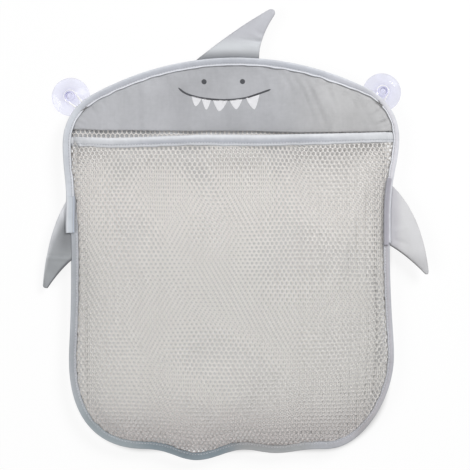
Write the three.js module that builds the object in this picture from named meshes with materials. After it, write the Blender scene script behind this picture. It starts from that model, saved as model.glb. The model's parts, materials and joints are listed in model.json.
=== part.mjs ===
// Bath toy organizer: a net pocket under a stiff cloth head, hung on a wall by two suction cups.
// Millimetres, +Z up, +X to the viewer's right, +Y into the wall.
// The origin lies on the wall, on the bag's centre line, at the height of the cups.
// Drawings are made in the XZ plane, and depth counts forward from the bag's middle plane.

import * as THREE from "three";

// Panels: the line where the cloth and the nets are cut, seen from the front
const CROWN_HEIGHT = 36; // top of the head's arch above the cups
const CROWN_SHIFT = 5; // the arch leans this far to the right
const ARCH_RADIUS = 306;
const SHOULDER_RADIUS = 55;
const SHOULDER_HALF = 173; // half the width at the shoulders
const RIGHT_WAIST_HALF = 163.9;
const RIGHT_WAIST_DROP = 130;
const RIGHT_HIP_HALF = 168.5;
const RIGHT_HIP_DROP = 272;
const RIGHT_CORNER_DOWN = 45; // pull of the corner's curve below the hip
const RIGHT_CORNER_ACROSS = 35; // and along the bottom
const RIGHT_FOOT = 100; // where the corner ends on the bottom edge
const LEFT_WAIST_HALF = 165.2;
const LEFT_WAIST_DROP = 175;
const LEFT_HIP_HALF = 167.5;
const LEFT_HIP_DROP = 276;
const LEFT_CORNER_DOWN = 59;
const LEFT_CORNER_ACROSS = 50;
const LEFT_FOOT = 90;
const BOTTOM_DROP = 368; // bottom edge below the cups, before it sags
const LEFT_SAG = 12; // the bottom hangs down in two lobes
const LEFT_SAG_X = -35;
const LEFT_SAG_REACH = 50;
const RIGHT_SAG = 4.5;
const RIGHT_SAG_X = 48;
const RIGHT_SAG_REACH = 40;
const SEAM_DROP = 38; // seam between the head and the back net
const SEAM_TUCK = 9; // the back net goes this far up between the head's cloths
const LINING_DROP = 11.5; // the lining hangs this far below the seam, behind the net

// Layers and what keeps them apart
const CLEARANCE = 0.3; // between sewn layers
const CLOTH = 0.6;
const STIFFENER = 1.8;
const STIFFENER_MARGIN = 3; // from the cut edge and from the tucked net
const NET = 0.8; // thickness of a net
const TAPE = 0.7; // one leaf of a folded tape

// Tapes folded over the panels' edges
const POCKET_LEAF = 8; // width of a leaf, from the fold
const HEAD_LEAF = 8.8;
const RIGHT_LEAF = 6.4; // both tapes are folded narrower along the right side
const RIGHT_LEAF_FROM = 110; // where they start to narrow, across from the centre line
const RIGHT_LEAF_TO = 160;
const FOLD_RADIUS = 0.9;
const HEAD_TAPE_LEFT_END = 144; // where the head tape's cut ends lie below the cups
const HEAD_TAPE_RIGHT_END = 156;
const POCKET_TAPE_LEFT_END = 100; // where the pocket tape starts, inside the head tape
const POCKET_TAPE_RIGHT_END = 90;
const LEFT_END_FLARE = 4; // the head tape's left end stands out this much more
const FLARE_RUN = 55; // height over which it does

// Pocket: the front net bellies forward, and its top edge is bowed
const HEM_DROP = 43.4; // top of the hem below the cups, on the centre line
const HEM_TILT = 2.4; // the hem's right end is this much higher, its left end lower
const HEM_SAG = 1.2;
const HEM_HEIGHT = 10;
const HEM_END = 2; // from the hem's end to the edge of the free net
const MOUTH_DEPTH = 26; // how far the hem stands off the back net
const BELLY_DEPTH = 50;
const BELLY_HEIGHT = 85; // height of the belly's deepest line above the bottom edge
const BULGE_POWER = 0.6; // how steeply the net leaves its edges
const FREE_NET_MARGIN = 1.3; // from a tape's leaf to where the net bends

// Hexagon net, drawn with wider cells than the knitted one
const NET_PITCH = 30; // between neighbouring gaps
const NET_STRAND = 7.3; // width of a strand
const NET_BORDER = 4; // plain net along the tapes
const NET_SELVAGE = 1; // least width from that border to a gap

// Fins: two plies over a filling, sewn to the edge tapes
const FIN_SEAT = 0.8; // from the tape to the fin's base
const FIN_CROWN = 3.4; // height of a ply's crown over its rim
const FIN_CROWN_POWER = 0.75;
const FILLING_MARGIN = 0.12; // share of the way from the rim to the middle that has no filling
const DORSAL_BASE_LEFT = -36.4;
const DORSAL_BASE_RIGHT = 29.2;
const DORSAL_TIP_X = 46.5;
const DORSAL_TIP_HEIGHT = 89.5; // above the cups, where the two edges would meet
const DORSAL_TIP_ROUND = 6.5;
const SIDE_FIN_LENGTH = 92;
const SIDE_FIN_BASE = 63;
const SIDE_FIN_TIP = 4; // width of the blunt tip
const SIDE_FIN_SHOULDER_OUT = 0.79; // pull of the outer edge, as a share of the reach
const SIDE_FIN_SHOULDER_DOWN = 0.33; // and of the length
const SIDE_FIN_WAIST = 0.045; // how far the lower edge is drawn in, as a share of the length
const RIGHT_FIN_REACH = 40;
const RIGHT_FIN_DROP = 94; // top of the fin's base below the cups
const LEFT_FIN_REACH = 25;
const LEFT_FIN_DROP = 110;
const LEFT_FIN_BEND = 20; // degrees, the left fin lies bent towards the wall

// Suction cups and the elastic loops that carry the bag
const CUP_RADIUS = 20;
const CUP_RIM = 0.9; // thickness at the rim
const CUP_SEAT = 4; // width of the rim that lies flat on the wall
const CUP_HOLLOW = 2.2;
const CUP_DOME = 7.4; // height where the neck starts
const CUP_SHOULDER = 6.4; // radius where the dome turns up into the neck
const NECK_RADIUS = 4.2;
const GROOVE_WIDTH = 3.4;
const KNOB_RADIUS = 5.8;
const KNOB_HEIGHT = 5;
const LEFT_CUP_INSET = 5; // from the shoulder's widest place to the cup's middle
const LEFT_CUP_Z = -1.8;
const RIGHT_CUP_INSET = 14.7;
const RIGHT_CUP_Z = 3;
const CORD = 2.4; // diameter of the elastic
const CORD_CLEARANCE = 0.4;
const LOOP_ROOT = 6; // between the loop's two ends
const LEFT_ROOT_INSET = 21.5; // where the loops are sewn behind the head tape, from the same place
const LEFT_ROOT_Z = -17;
const RIGHT_ROOT_INSET = 19.6;
const RIGHT_ROOT_Z = -11.4;

// Steps of the drawn curves
const OUTLINE_STEPS = 112;
const SAG_STEPS = 14;
const HEM_STEPS = 18;
const FIN_STEPS = 4;
const BASE_STEPS = 4;
const LATHE_STEPS = 24;
const DOME_STEPS = 5;
const CORD_STEPS = 26;
const CORD_SIDES = 8;

// Depths that follow from the layers
const pocketSlot = 2 * NET + 3 * CLEARANCE;
const pocketTapeHalf = pocketSlot / 2 + TAPE;
const headStack = 2 * CLOTH + STIFFENER + 2 * CLEARANCE;
const headSlot = Math.max(2 * pocketTapeHalf, headStack) + 2 * CLEARANCE;
const headTapeHalf = headSlot / 2 + TAPE;
const pocketProud = CLEARANCE + TAPE; // fold of the tape outside the cut edge
const headProud = pocketProud + CLEARANCE + TAPE;
const netDepth = (NET + CLEARANCE) / 2;
const clothDepth = headStack / 2 - CLOTH / 2;
const loopPlane = -(CUP_DOME + GROOVE_WIDTH / 2);
const bagPlane = loopPlane - CORD / 2 - CORD_CLEARANCE - headTapeHalf;

const lerp = THREE.MathUtils.lerp;
const point = (x, z) => new THREE.Vector2(x, z);

// Outline of the panels, clockwise from the left end of the arch
function lobe(u) {
  return Math.abs(u) < 1 ? Math.cos((Math.PI * u) / 2) ** 2 : 0;
}

function bottomEdge(x) {
  const left = LEFT_SAG * lobe((x - LEFT_SAG_X) / LEFT_SAG_REACH);
  const right = RIGHT_SAG * lobe((x - RIGHT_SAG_X) / RIGHT_SAG_REACH);
  return -BOTTOM_DROP - left - right;
}

function shoulderCentre(side) {
  const x = side * (SHOULDER_HALF - SHOULDER_RADIUS);
  const reach = ARCH_RADIUS - SHOULDER_RADIUS;
  const rise = Math.sqrt(reach ** 2 - (x - CROWN_SHIFT) ** 2);
  return point(x, CROWN_HEIGHT - ARCH_RADIUS + rise);
}

function panelOutline() {
  const archCentre = point(CROWN_SHIFT, CROWN_HEIGHT - ARCH_RADIUS);
  const right = shoulderCentre(1);
  const left = shoulderCentre(-1);
  const rightAngle = right.clone().sub(archCentre).angle();
  const leftAngle = left.clone().sub(archCentre).angle();
  const path = new THREE.Path();
  path.absarc(archCentre.x, archCentre.y, ARCH_RADIUS, leftAngle, rightAngle, true);
  path.absarc(right.x, right.y, SHOULDER_RADIUS, rightAngle, 0, true);
  const side = (fromX, fromZ, toX, toZ, leave, arrive) => {
    const fall = toZ - fromZ;
    path.bezierCurveTo(fromX, fromZ + leave * fall, toX, toZ - arrive * fall, toX, toZ);
  };
  side(SHOULDER_HALF, right.y, RIGHT_WAIST_HALF, -RIGHT_WAIST_DROP, 0.3, 0.55);
  side(RIGHT_WAIST_HALF, -RIGHT_WAIST_DROP, RIGHT_HIP_HALF, -RIGHT_HIP_DROP, 0.7, 0.2);
  path.bezierCurveTo(
    RIGHT_HIP_HALF, -RIGHT_HIP_DROP - RIGHT_CORNER_DOWN,
    RIGHT_FOOT + RIGHT_CORNER_ACROSS, bottomEdge(RIGHT_FOOT),
    RIGHT_FOOT, bottomEdge(RIGHT_FOOT),
  );
  for (let i = 1; i <= SAG_STEPS; i++) {
    const x = lerp(RIGHT_FOOT, -LEFT_FOOT, i / SAG_STEPS);
    path.lineTo(x, bottomEdge(x));
  }
  path.bezierCurveTo(
    -LEFT_FOOT - LEFT_CORNER_ACROSS, bottomEdge(-LEFT_FOOT),
    -LEFT_HIP_HALF, -LEFT_HIP_DROP - LEFT_CORNER_DOWN,
    -LEFT_HIP_HALF, -LEFT_HIP_DROP,
  );
  side(-LEFT_HIP_HALF, -LEFT_HIP_DROP, -LEFT_WAIST_HALF, -LEFT_WAIST_DROP, 0.2, 0.7);
  side(-LEFT_WAIST_HALF, -LEFT_WAIST_DROP, -SHOULDER_HALF, left.y, 0.55, 0.3);
  path.absarc(left.x, left.y, SHOULDER_RADIUS, Math.PI, leftAngle, true);
  return path.getSpacedPoints(OUTLINE_STEPS).slice(0, -1);
}

const outline = panelOutline();
const inward = outline.map((p, i) => {
  const before = outline.at(i - 1);
  const after = outline[(i + 1) % outline.length];
  return point(after.y - before.y, before.x - after.x).normalize();
});

// A place on the outline at a whole or part index, with its inward normal
function edgeAt(index) {
  const low = Math.floor(index);
  const share = index - low;
  const a = low % outline.length;
  const b = (low + 1) % outline.length;
  return {
    p: outline[a].clone().lerp(outline[b], share),
    n: inward[a].clone().lerp(inward[b], share).normalize(),
  };
}

// Where a side of the outline passes a height
function edgeIndex(side, z) {
  const limit = SHOULDER_HALF / 2;
  for (let i = 0; i < outline.length; i++) {
    const a = outline[i];
    const b = outline[(i + 1) % outline.length];
    if (a.x * side > limit && (a.y - z) * (b.y - z) <= 0) {
      return i + (z - a.y) / (b.y - a.y);
    }
  }
  return 0;
}

// All places from one index to another, clockwise
function edgeRun(from, to) {
  const end = to < from ? to + outline.length : to;
  const run = [edgeAt(from)];
  for (let i = Math.floor(from) + 1; i < end; i++) run.push(edgeAt(i));
  run.push(edgeAt(end));
  return run;
}

function insetOutline(distance) {
  return outline.map((p, i) => p.clone().addScaledVector(inward[i], distance));
}

// The part of a closed outline where keep(p) is positive, as one open run in order
function cutRun(points, keep) {
  const count = points.length;
  const first = points.findIndex((p, i) => keep(p) > 0 && keep(points.at(i - 1)) <= 0);
  const crossing = (a, b) => a.clone().lerp(b, keep(a) / (keep(a) - keep(b)));
  const run = [crossing(points.at(first - 1), points[first])];
  let i = first;
  while (keep(points[i % count]) > 0) {
    run.push(points[i % count]);
    i++;
  }
  run.push(crossing(points[(i - 1) % count], points[i % count]));
  return run;
}

// A closed mesh from a list of vertices and triangles
function solid(vertices, triangles) {
  const geometry = new THREE.BufferGeometry();
  geometry.setAttribute("position", new THREE.Float32BufferAttribute(vertices.flat(), 3));
  geometry.setIndex(triangles.flat());
  geometry.computeVertexNormals();
  return geometry;
}

// Neighbouring triangles swap the edge between them where that makes both less narrow
function evenOut(faces, flat) {
  const owner = new Map();
  const claim = (index) => {
    const [a, b, c] = faces[index];
    for (const edge of [`${a} ${b}`, `${b} ${c}`, `${c} ${a}`]) owner.set(edge, index);
  };
  const angleAt = (tip, a, b) => {
    const first = flat[a].clone().sub(flat[tip]);
    return first.angleTo(flat[b].clone().sub(flat[tip]));
  };
  const turns = (face) => THREE.ShapeUtils.area(face.map((k) => flat[k])) > 1e-6;
  faces.forEach((_, index) => claim(index));
  const waiting = [...owner.keys()];
  while (waiting.length > 0) {
    const edge = waiting.pop();
    const [a, b] = edge.split(" ").map(Number);
    const one = owner.get(edge);
    const other = owner.get(`${b} ${a}`);
    if (one === undefined || other === undefined) continue;
    const c = faces[one].find((k) => k !== a && k !== b);
    const d = faces[other].find((k) => k !== a && k !== b);
    const narrow = angleAt(c, a, b) + angleAt(d, a, b) > Math.PI + 1e-6;
    if (!narrow || !turns([a, d, c]) || !turns([d, b, c])) continue;
    owner.delete(edge);
    owner.delete(`${b} ${a}`);
    faces[one] = [a, d, c];
    faces[other] = [d, b, c];
    claim(one);
    claim(other);
    waiting.push(`${a} ${d}`, `${c} ${a}`, `${d} ${b}`, `${b} ${c}`);
  }
}

// A sheet of one thickness over flat regions that meet edge to edge, lifted by depthAt(x, z)
function sheet(regions, thickness, depthAt) {
  const index = new Map();
  const flat = [];
  const indexOf = (p) => {
    const key = `${p.x.toFixed(4)},${p.y.toFixed(4)}`;
    if (!index.has(key)) {
      index.set(key, flat.length);
      flat.push(p);
    }
    return index.get(key);
  };
  const faces = [];
  for (const { contour, holes = [] } of regions) {
    const all = [contour, ...holes].flat();
    for (const [a, b, c] of THREE.ShapeUtils.triangulateShape(contour, holes)) {
      const face = [all[a], all[b], all[c]];
      const turn = THREE.ShapeUtils.area(face);
      faces.push((turn > 0 ? face : face.reverse()).map(indexOf));
    }
  }
  evenOut(faces, flat);
  const layer = (offset) => flat.map((p) => [p.x, -depthAt(p.x, p.y) + offset, p.y]);
  const vertices = [...layer(-thickness / 2), ...layer(thickness / 2)];
  const back = flat.length;
  const edges = new Set(faces.flatMap(([a, b, c]) => [`${a} ${b}`, `${b} ${c}`, `${c} ${a}`]));
  const triangles = faces.flatMap(([a, b, c]) => [[a, b, c], [c + back, b + back, a + back]]);
  for (const edge of edges) {
    const [a, b] = edge.split(" ").map(Number);
    if (!edges.has(`${b} ${a}`)) triangles.push([b, a, a + back], [b, a + back, b + back]);
  }
  return solid(vertices, triangles);
}

// A closed profile carried along rows of places: rows[i][j] is profile point j at place i
function sweep(rows, profile) {
  const count = profile.length;
  const triangles = [];
  for (let i = 0; i + 1 < rows.length; i++) {
    for (let j = 0; j < count; j++) {
      const a = i * count + j;
      const b = i * count + ((j + 1) % count);
      triangles.push([a, b, b + count], [a, b + count, a + count]);
    }
  }
  const last = (rows.length - 1) * count;
  for (const [a, b, c] of THREE.ShapeUtils.triangulateShape(profile, [])) {
    const cap = THREE.ShapeUtils.area([profile[a], profile[b], profile[c]]) > 0 ? [a, b, c] : [a, c, b];
    triangles.push([cap[2], cap[1], cap[0]], cap.map((k) => k + last));
  }
  return solid(rows.flat(), triangles);
}

// A tape folded in two round an edge: x counts inwards from the fold, y is depth
function foldedTape(leaf, half) {
  const inner = half - TAPE;
  return [
    point(leaf, half),
    point(FOLD_RADIUS, half),
    point(0, half - FOLD_RADIUS),
    point(0, FOLD_RADIUS - half),
    point(FOLD_RADIUS, -half),
    point(leaf, -half),
    point(leaf, -inner),
    point(TAPE, -inner),
    point(TAPE, inner),
    point(leaf, inner),
  ];
}

function leafAt(p, leaf) {
  return lerp(leaf, RIGHT_LEAF, THREE.MathUtils.smoothstep(p.x, RIGHT_LEAF_FROM, RIGHT_LEAF_TO));
}

function edgeTape(run, leaf, half, proudAt) {
  const rows = run.toReversed().map(({ p, n }) => foldedTape(leafAt(p, leaf), half).map((q) => {
    const place = p.clone().addScaledVector(n, q.x - proudAt(p));
    return [place.x, -q.y, place.y];
  }));
  return sweep(rows, foldedTape(leaf, half));
}

// The head tape's left end stands out from the edge
function headTapeProud(p) {
  if (p.x > 0) return headProud;
  const share = THREE.MathUtils.smoothstep(-p.y, HEAD_TAPE_LEFT_END - FLARE_RUN, HEAD_TAPE_LEFT_END);
  return headProud + LEFT_END_FLARE * share;
}

// Regular hexagons that lie inside a region; rows count down from just under the hem
function hexagonGaps(region) {
  const gap = (NET_PITCH - NET_STRAND) / Math.sqrt(3);
  const rowHeight = NET_PITCH * Math.sqrt(0.75);
  const columns = Math.ceil(SHOULDER_HALF / NET_PITCH);
  const rows = Math.ceil((BOTTOM_DROP + LEFT_SAG) / rowHeight);
  const firstRow = -HEM_DROP - HEM_HEIGHT - HEM_TILT - FREE_NET_MARGIN - NET_BORDER - NET_SELVAGE - gap;
  const corners = [0, 1, 2, 3, 4, 5].map((k) => Math.PI / 6 + (k * Math.PI) / 3);
  const holes = [];
  for (let row = -1; row <= rows; row++) {
    for (let column = -columns; column <= columns; column++) {
      const x = (column + Math.abs(row % 2) / 2) * NET_PITCH;
      const z = firstRow - row * rowHeight;
      const hole = corners.map((angle) => point(x + gap * Math.cos(angle), z + gap * Math.sin(angle)));
      if (hole.every((p) => insideRegion(p, region))) holes.push(hole);
    }
  }
  return holes;
}

function insideRegion(p, border) {
  let inside = false;
  for (let i = 0; i < border.length; i++) {
    const a = border[i];
    const b = border.at(i - 1);
    const crosses = a.y > p.y !== b.y > p.y;
    if (crosses && p.x < a.x + ((p.y - a.y) * (b.x - a.x)) / (b.y - a.y)) inside = !inside;
  }
  return inside;
}

// Head: two cloths over a stiffener, straight along the seam; the lining's allowance hangs below it
function headRegion(margin, bottom) {
  return { contour: cutRun(insetOutline(margin), (p) => p.y - bottom) };
}

const headCloth = headRegion(0, -SEAM_DROP);
const liningCloth = headRegion(0, -SEAM_DROP - LINING_DROP);
const stiffenerFoot = -SEAM_DROP + SEAM_TUCK + STIFFENER_MARGIN;
const stiffener = headRegion(STIFFENER_MARGIN, stiffenerFoot);

// Where the free net starts inside the tapes, and where its gaps may start
const freeInset = Math.max(POCKET_LEAF - pocketProud, HEAD_LEAF - headProud) + FREE_NET_MARGIN;
const borderInset = freeInset + NET_BORDER;
const gapInset = borderInset + NET_SELVAGE;

// Back net: flat, its top edge tucked into the head
function backNet() {
  const contour = cutRun(outline, (p) => SEAM_TUCK - SEAM_DROP - p.y);
  const region = cutRun(insetOutline(gapInset), (p) => -SEAM_DROP - NET_BORDER - p.y);
  return sheet([{ contour, holes: hexagonGaps(region) }], NET, () => -netDepth);
}

// Front net: a flat rim inside the tapes, a bowed strip inside the hem and a bellied field
function hemTop(x) {
  const share = x / SHOULDER_HALF;
  return -HEM_DROP + HEM_TILT * share - HEM_SAG * (1 - share ** 2);
}

const hemFoot = (x) => hemTop(x) - HEM_HEIGHT - FREE_NET_MARGIN;
const netRim = cutRun(outline, (p) => hemTop(p.x) - p.y);
const fieldSides = cutRun(insetOutline(freeInset), (p) => hemFoot(p.x) - p.y);
const fieldRight = fieldSides[0];
const fieldLeft = fieldSides.at(-1);
const hemStations = Array.from({ length: HEM_STEPS + 1 }, (_, i) => (
  lerp(fieldLeft.x + HEM_END, fieldRight.x - HEM_END, (1 - Math.cos((Math.PI * i) / HEM_STEPS)) / 2)
));

function bulge(share) {
  return Math.max(0, 1 - share ** 2) ** BULGE_POWER;
}

// Left and right limits of the field at a height, and its foot under a place
function fieldCrossings(value, along, across) {
  const found = [];
  for (let i = 0; i + 1 < fieldSides.length; i++) {
    const a = fieldSides[i];
    const b = fieldSides[i + 1];
    if ((a[along] - value) * (b[along] - value) <= 0 && a[along] !== b[along]) {
      const share = (value - a[along]) / (b[along] - a[along]);
      found.push(lerp(a[across], b[across], share));
    }
  }
  return found;
}

function hemBow(x) {
  return MOUTH_DEPTH * bulge((2 * x - fieldLeft.x - fieldRight.x) / (fieldRight.x - fieldLeft.x));
}

function pocketDepth(x, z) {
  const underHem = x > fieldLeft.x && x < fieldRight.x;
  if (underHem && z >= hemFoot(x) - 1e-6) return hemBow(x);
  const feet = fieldCrossings(x, "x", "y");
  if (feet.length === 0) return 0;
  const foot = Math.min(...feet);
  const top = underHem ? hemFoot(x) : Math.max(...feet);
  const above = z - foot;
  if (above <= 0 || z > top) return 0;
  const limits = fieldCrossings(Math.min(z, fieldLeft.y, fieldRight.y), "y", "x");
  const left = Math.min(...limits);
  const right = Math.max(...limits);
  const upper = THREE.MathUtils.smoothstep(above, BELLY_HEIGHT, top - foot);
  const profile = above < BELLY_HEIGHT
    ? BELLY_DEPTH * bulge(1 - above / BELLY_HEIGHT)
    : lerp(BELLY_DEPTH, MOUTH_DEPTH, upper);
  return profile * bulge((2 * x - left - right) / (right - left));
}

const frontNetDepth = (x, z) => netDepth + pocketDepth(x, z);

function frontNet() {
  const stations = [fieldLeft.x, ...hemStations, fieldRight.x];
  const tops = stations.map((x) => point(x, hemTop(x)));
  const feet = stations.map((x) => point(x, hemFoot(x)));
  feet[0] = fieldLeft;
  feet[feet.length - 1] = fieldRight;
  const rim = [...netRim, tops[0], ...fieldSides.toReversed(), tops.at(-1)];
  const strip = feet.slice(1).map((foot, i) => ({ contour: [tops[i], tops[i + 1], foot, feet[i]] }));
  const borderTop = (x) => hemFoot(x) - NET_BORDER;
  const borderSides = cutRun(insetOutline(borderInset), (p) => borderTop(p.x) - p.y);
  const inner = hemStations.filter((x) => x > borderSides.at(-1).x && x < borderSides[0].x);
  const border = [...borderSides, ...inner.map((x) => point(x, borderTop(x)))];
  const region = cutRun(insetOutline(gapInset), (p) => borderTop(p.x) - NET_SELVAGE - p.y);
  return sheet([
    { contour: rim },
    ...strip,
    { contour: [...fieldSides, ...feet.slice(1, -1)], holes: [border] },
    { contour: border, holes: hexagonGaps(region) },
  ], NET, frontNetDepth);
}

// Hem: a tape folded over the front net's top edge, bowed with it
function hemTape() {
  const half = NET / 2 + CLEARANCE + TAPE;
  const profile = foldedTape(HEM_HEIGHT, half);
  const rise = TAPE + CLEARANCE;
  const rows = hemStations.toReversed().map((x) => profile.map((q) => (
    [x, -frontNetDepth(x, hemTop(x)) - q.y, hemTop(x) + rise - q.x]
  )));
  return sweep(rows, profile);
}

// Fins: rings from the rim to the middle, each ply with its own crown
const RINGS = [1, 1 - FILLING_MARGIN, 0.5];
const crownAt = (share) => FIN_CROWN * (1 - share ** 2) ** FIN_CROWN_POWER;

function ringed(rim, surfaces) {
  const centre = rim.reduce((sum, p) => sum.add(p), point(0, 0)).divideScalar(rim.length);
  const count = rim.length;
  const vertices = [];
  const triangles = [];
  surfaces.forEach(({ rings, depthAt }, side) => {
    const start = vertices.length;
    const turn = (face) => triangles.push(side === 0 ? face : face.toReversed());
    for (const share of rings) {
      for (const p of rim) {
        const place = centre.clone().lerp(p, share);
        vertices.push([place.x, -depthAt(share), place.y]);
      }
    }
    vertices.push([centre.x, -depthAt(0), centre.y]);
    const middle = vertices.length - 1;
    for (let k = 0; k < rings.length; k++) {
      for (let j = 0; j < count; j++) {
        const a = start + k * count + j;
        const b = start + k * count + ((j + 1) % count);
        if (k + 1 === rings.length) turn([a, b, middle]);
        else {
          turn([a, b, b + count]);
          turn([a, b + count, a + count]);
        }
      }
    }
  });
  const back = surfaces[0].rings.length * count + 1;
  for (let j = 0; j < count; j++) {
    const next = (j + 1) % count;
    triangles.push([next, j, j + back], [next, j + back, next + back]);
  }
  return solid(vertices, triangles);
}

function finSolids(drawing) {
  const points = drawing.getPoints(FIN_STEPS).slice(0, -1);
  const rim = THREE.ShapeUtils.isClockWise(points) ? points.reverse() : points;
  const inside = (share) => CLEARANCE / 2 + crownAt(share);
  const outside = (share) => inside(share) + CLOTH;
  const filling = (share) => inside(share) - CLEARANCE;
  const inner = RINGS.slice(1);
  return {
    front_cloth: ringed(rim, [
      { rings: RINGS, depthAt: outside },
      { rings: RINGS, depthAt: inside },
    ]),
    back_cloth: ringed(rim, [
      { rings: RINGS, depthAt: (share) => -inside(share) },
      { rings: RINGS, depthAt: (share) => -outside(share) },
    ]),
    wadding: ringed(rim, [
      { rings: inner, depthAt: filling },
      { rings: inner, depthAt: (share) => -filling(share) },
    ]),
  };
}

// Dorsal fin, drawn from the crown of the head tape
const dorsalSeat = ARCH_RADIUS + headProud + FIN_SEAT;
const dorsalHinge = new THREE.Vector3(CROWN_SHIFT, 0, CROWN_HEIGHT + headProud + FIN_SEAT);

function dorsalDrawing() {
  const tip = point(DORSAL_TIP_X - dorsalHinge.x, DORSAL_TIP_HEIGHT - dorsalHinge.z);
  const seatAngle = (x) => Math.acos((x - CROWN_SHIFT) / dorsalSeat);
  const seatPlace = (x) => point(x - CROWN_SHIFT, dorsalSeat * Math.sin(seatAngle(x)) - dorsalSeat);
  const left = seatPlace(DORSAL_BASE_LEFT);
  const right = seatPlace(DORSAL_BASE_RIGHT);
  const leadEnd = point(tip.x - DORSAL_TIP_ROUND, tip.y - DORSAL_TIP_ROUND * 0.2);
  const trailStart = point(tip.x - DORSAL_TIP_ROUND * 0.1, tip.y - DORSAL_TIP_ROUND);
  const drawing = new THREE.Path();
  drawing.moveTo(left.x, left.y);
  drawing.quadraticCurveTo(lerp(left.x, tip.x, 0.49), lerp(left.y, tip.y, 0.61), leadEnd.x, leadEnd.y);
  drawing.quadraticCurveTo(tip.x, tip.y, trailStart.x, trailStart.y);
  drawing.quadraticCurveTo(right.x, lerp(right.y, tip.y, 0.4), right.x, right.y);
  drawing.absarc(0, -dorsalSeat, dorsalSeat, seatAngle(DORSAL_BASE_RIGHT), seatAngle(DORSAL_BASE_LEFT));
  return drawing;
}

// Side fins, drawn from the top of their hinge line; side is 1 for the right and -1 for the left
function sideFinDrawing(side, reach, base) {
  const out = side * reach;
  const shoulder = point(SIDE_FIN_SHOULDER_OUT * out, -SIDE_FIN_SHOULDER_DOWN * SIDE_FIN_LENGTH);
  const tipFoot = point(out - side * SIDE_FIN_TIP, -SIDE_FIN_LENGTH);
  const foot = base.at(-1);
  const waist = tipFoot.clone().lerp(foot, 0.5).add(point(0, SIDE_FIN_WAIST * SIDE_FIN_LENGTH));
  const drawing = new THREE.Path();
  drawing.moveTo(0, 0);
  drawing.quadraticCurveTo(shoulder.x, shoulder.y, out, SIDE_FIN_TIP - SIDE_FIN_LENGTH);
  drawing.quadraticCurveTo(out, -SIDE_FIN_LENGTH, tipFoot.x, tipFoot.y);
  drawing.quadraticCurveTo(waist.x, waist.y, foot.x, foot.y);
  for (const p of base.toReversed().slice(1)) drawing.lineTo(p.x, p.y);
  return drawing;
}

// A place on a tape's outer edge, off it by the fin's seat
function tapeSide(side, drop, proudAt) {
  const { p, n } = edgeAt(edgeIndex(side, -drop));
  return p.clone().addScaledVector(n, -proudAt(p) - FIN_SEAT);
}

// The fins' bases follow the tapes; the left one steps in below the head tape's end
function baseLine(side, fromDrop, toDrop) {
  const drops = Array.from({ length: BASE_STEPS + 1 }, (_, i) => lerp(fromDrop, toDrop, i / BASE_STEPS));
  return drops.map((drop) => tapeSide(side, drop, headTapeProud));
}

const rightBase = baseLine(1, RIGHT_FIN_DROP, RIGHT_FIN_DROP + SIDE_FIN_BASE);
const leftBase = baseLine(-1, LEFT_FIN_DROP, HEAD_TAPE_LEFT_END);
const leftFoot = tapeSide(-1, LEFT_FIN_DROP + SIDE_FIN_BASE, () => pocketProud);

// A fin's own frame: up along its hinge line, across to the viewer's right
function finFrame(top, foot) {
  const up = top.clone().sub(foot).normalize();
  const across = point(up.y, -up.x);
  const local = (p) => point(p.clone().sub(top).dot(across), p.clone().sub(top).dot(up));
  return { top, tilt: Math.atan2(up.x, up.y), local };
}

const rightFrame = finFrame(rightBase[0], rightBase.at(-1));
const leftFrame = finFrame(leftBase[0], leftBase.at(-1));

// Suction cup, turned about the line that leaves the wall; y falls as the cup rises
function cupProfile() {
  const profile = [];
  for (let i = 0; i <= DOME_STEPS; i++) {
    const share = i / DOME_STEPS;
    profile.push(point((CUP_RADIUS - CUP_SEAT) * share, CUP_HOLLOW * (1 - share ** 2)));
  }
  profile.push(point(CUP_RADIUS, 0));
  for (let i = 0; i <= DOME_STEPS; i++) {
    const share = i / DOME_STEPS;
    const rise = (1 - Math.cos(share * Math.PI * 0.5)) ** 0.8;
    profile.push(point(lerp(CUP_RADIUS, CUP_SHOULDER, share), lerp(CUP_RIM, CUP_DOME * 0.85, rise)));
  }
  const knobFoot = CUP_DOME + GROOVE_WIDTH;
  const knobTop = knobFoot + KNOB_HEIGHT;
  profile.push(
    point(NECK_RADIUS, CUP_DOME),
    point(NECK_RADIUS, knobFoot),
    point(KNOB_RADIUS * 0.94, knobFoot + KNOB_HEIGHT * 0.1),
    point(KNOB_RADIUS, knobFoot + KNOB_HEIGHT * 0.35),
    point(KNOB_RADIUS * 0.9, knobFoot + KNOB_HEIGHT * 0.7),
    point(KNOB_RADIUS * 0.6, knobFoot + KNOB_HEIGHT * 0.93),
    point(0, knobTop),
  );
  return profile.map((p) => point(p.x, -p.y)).reverse();
}

// Elastic loop: up one side, round the cup's neck and back to the head tape
function loopCurve(cup, root) {
  const along = cup.clone().sub(root).normalize();
  const across = point(-along.y, along.x);
  const bend = NECK_RADIUS + CORD_CLEARANCE + CORD / 2;
  const leg = (side) => root.clone().addScaledVector(across, (side * LOOP_ROOT) / 2);
  const turn = [];
  for (let i = 0; i <= 6; i++) {
    const angle = (Math.PI * i) / 6;
    turn.push(cup.clone()
      .addScaledVector(across, bend * Math.cos(angle))
      .addScaledVector(along, bend * Math.sin(angle)));
  }
  const route = [leg(1), leg(1).lerp(turn[0], 0.5), ...turn, leg(-1).lerp(turn[6], 0.5), leg(-1)];
  return new THREE.CatmullRomCurve3(route.map((p) => new THREE.Vector3(p.x, loopPlane, p.y)));
}

function loopSolid(cup, root) {
  const section = new THREE.Shape().absarc(0, 0, CORD / 2, 0, 2 * Math.PI);
  return new THREE.ExtrudeGeometry(section, {
    steps: CORD_STEPS,
    curveSegments: CORD_SIDES / 2,
    extrudePath: loopCurve(cup, root),
  });
}

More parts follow.
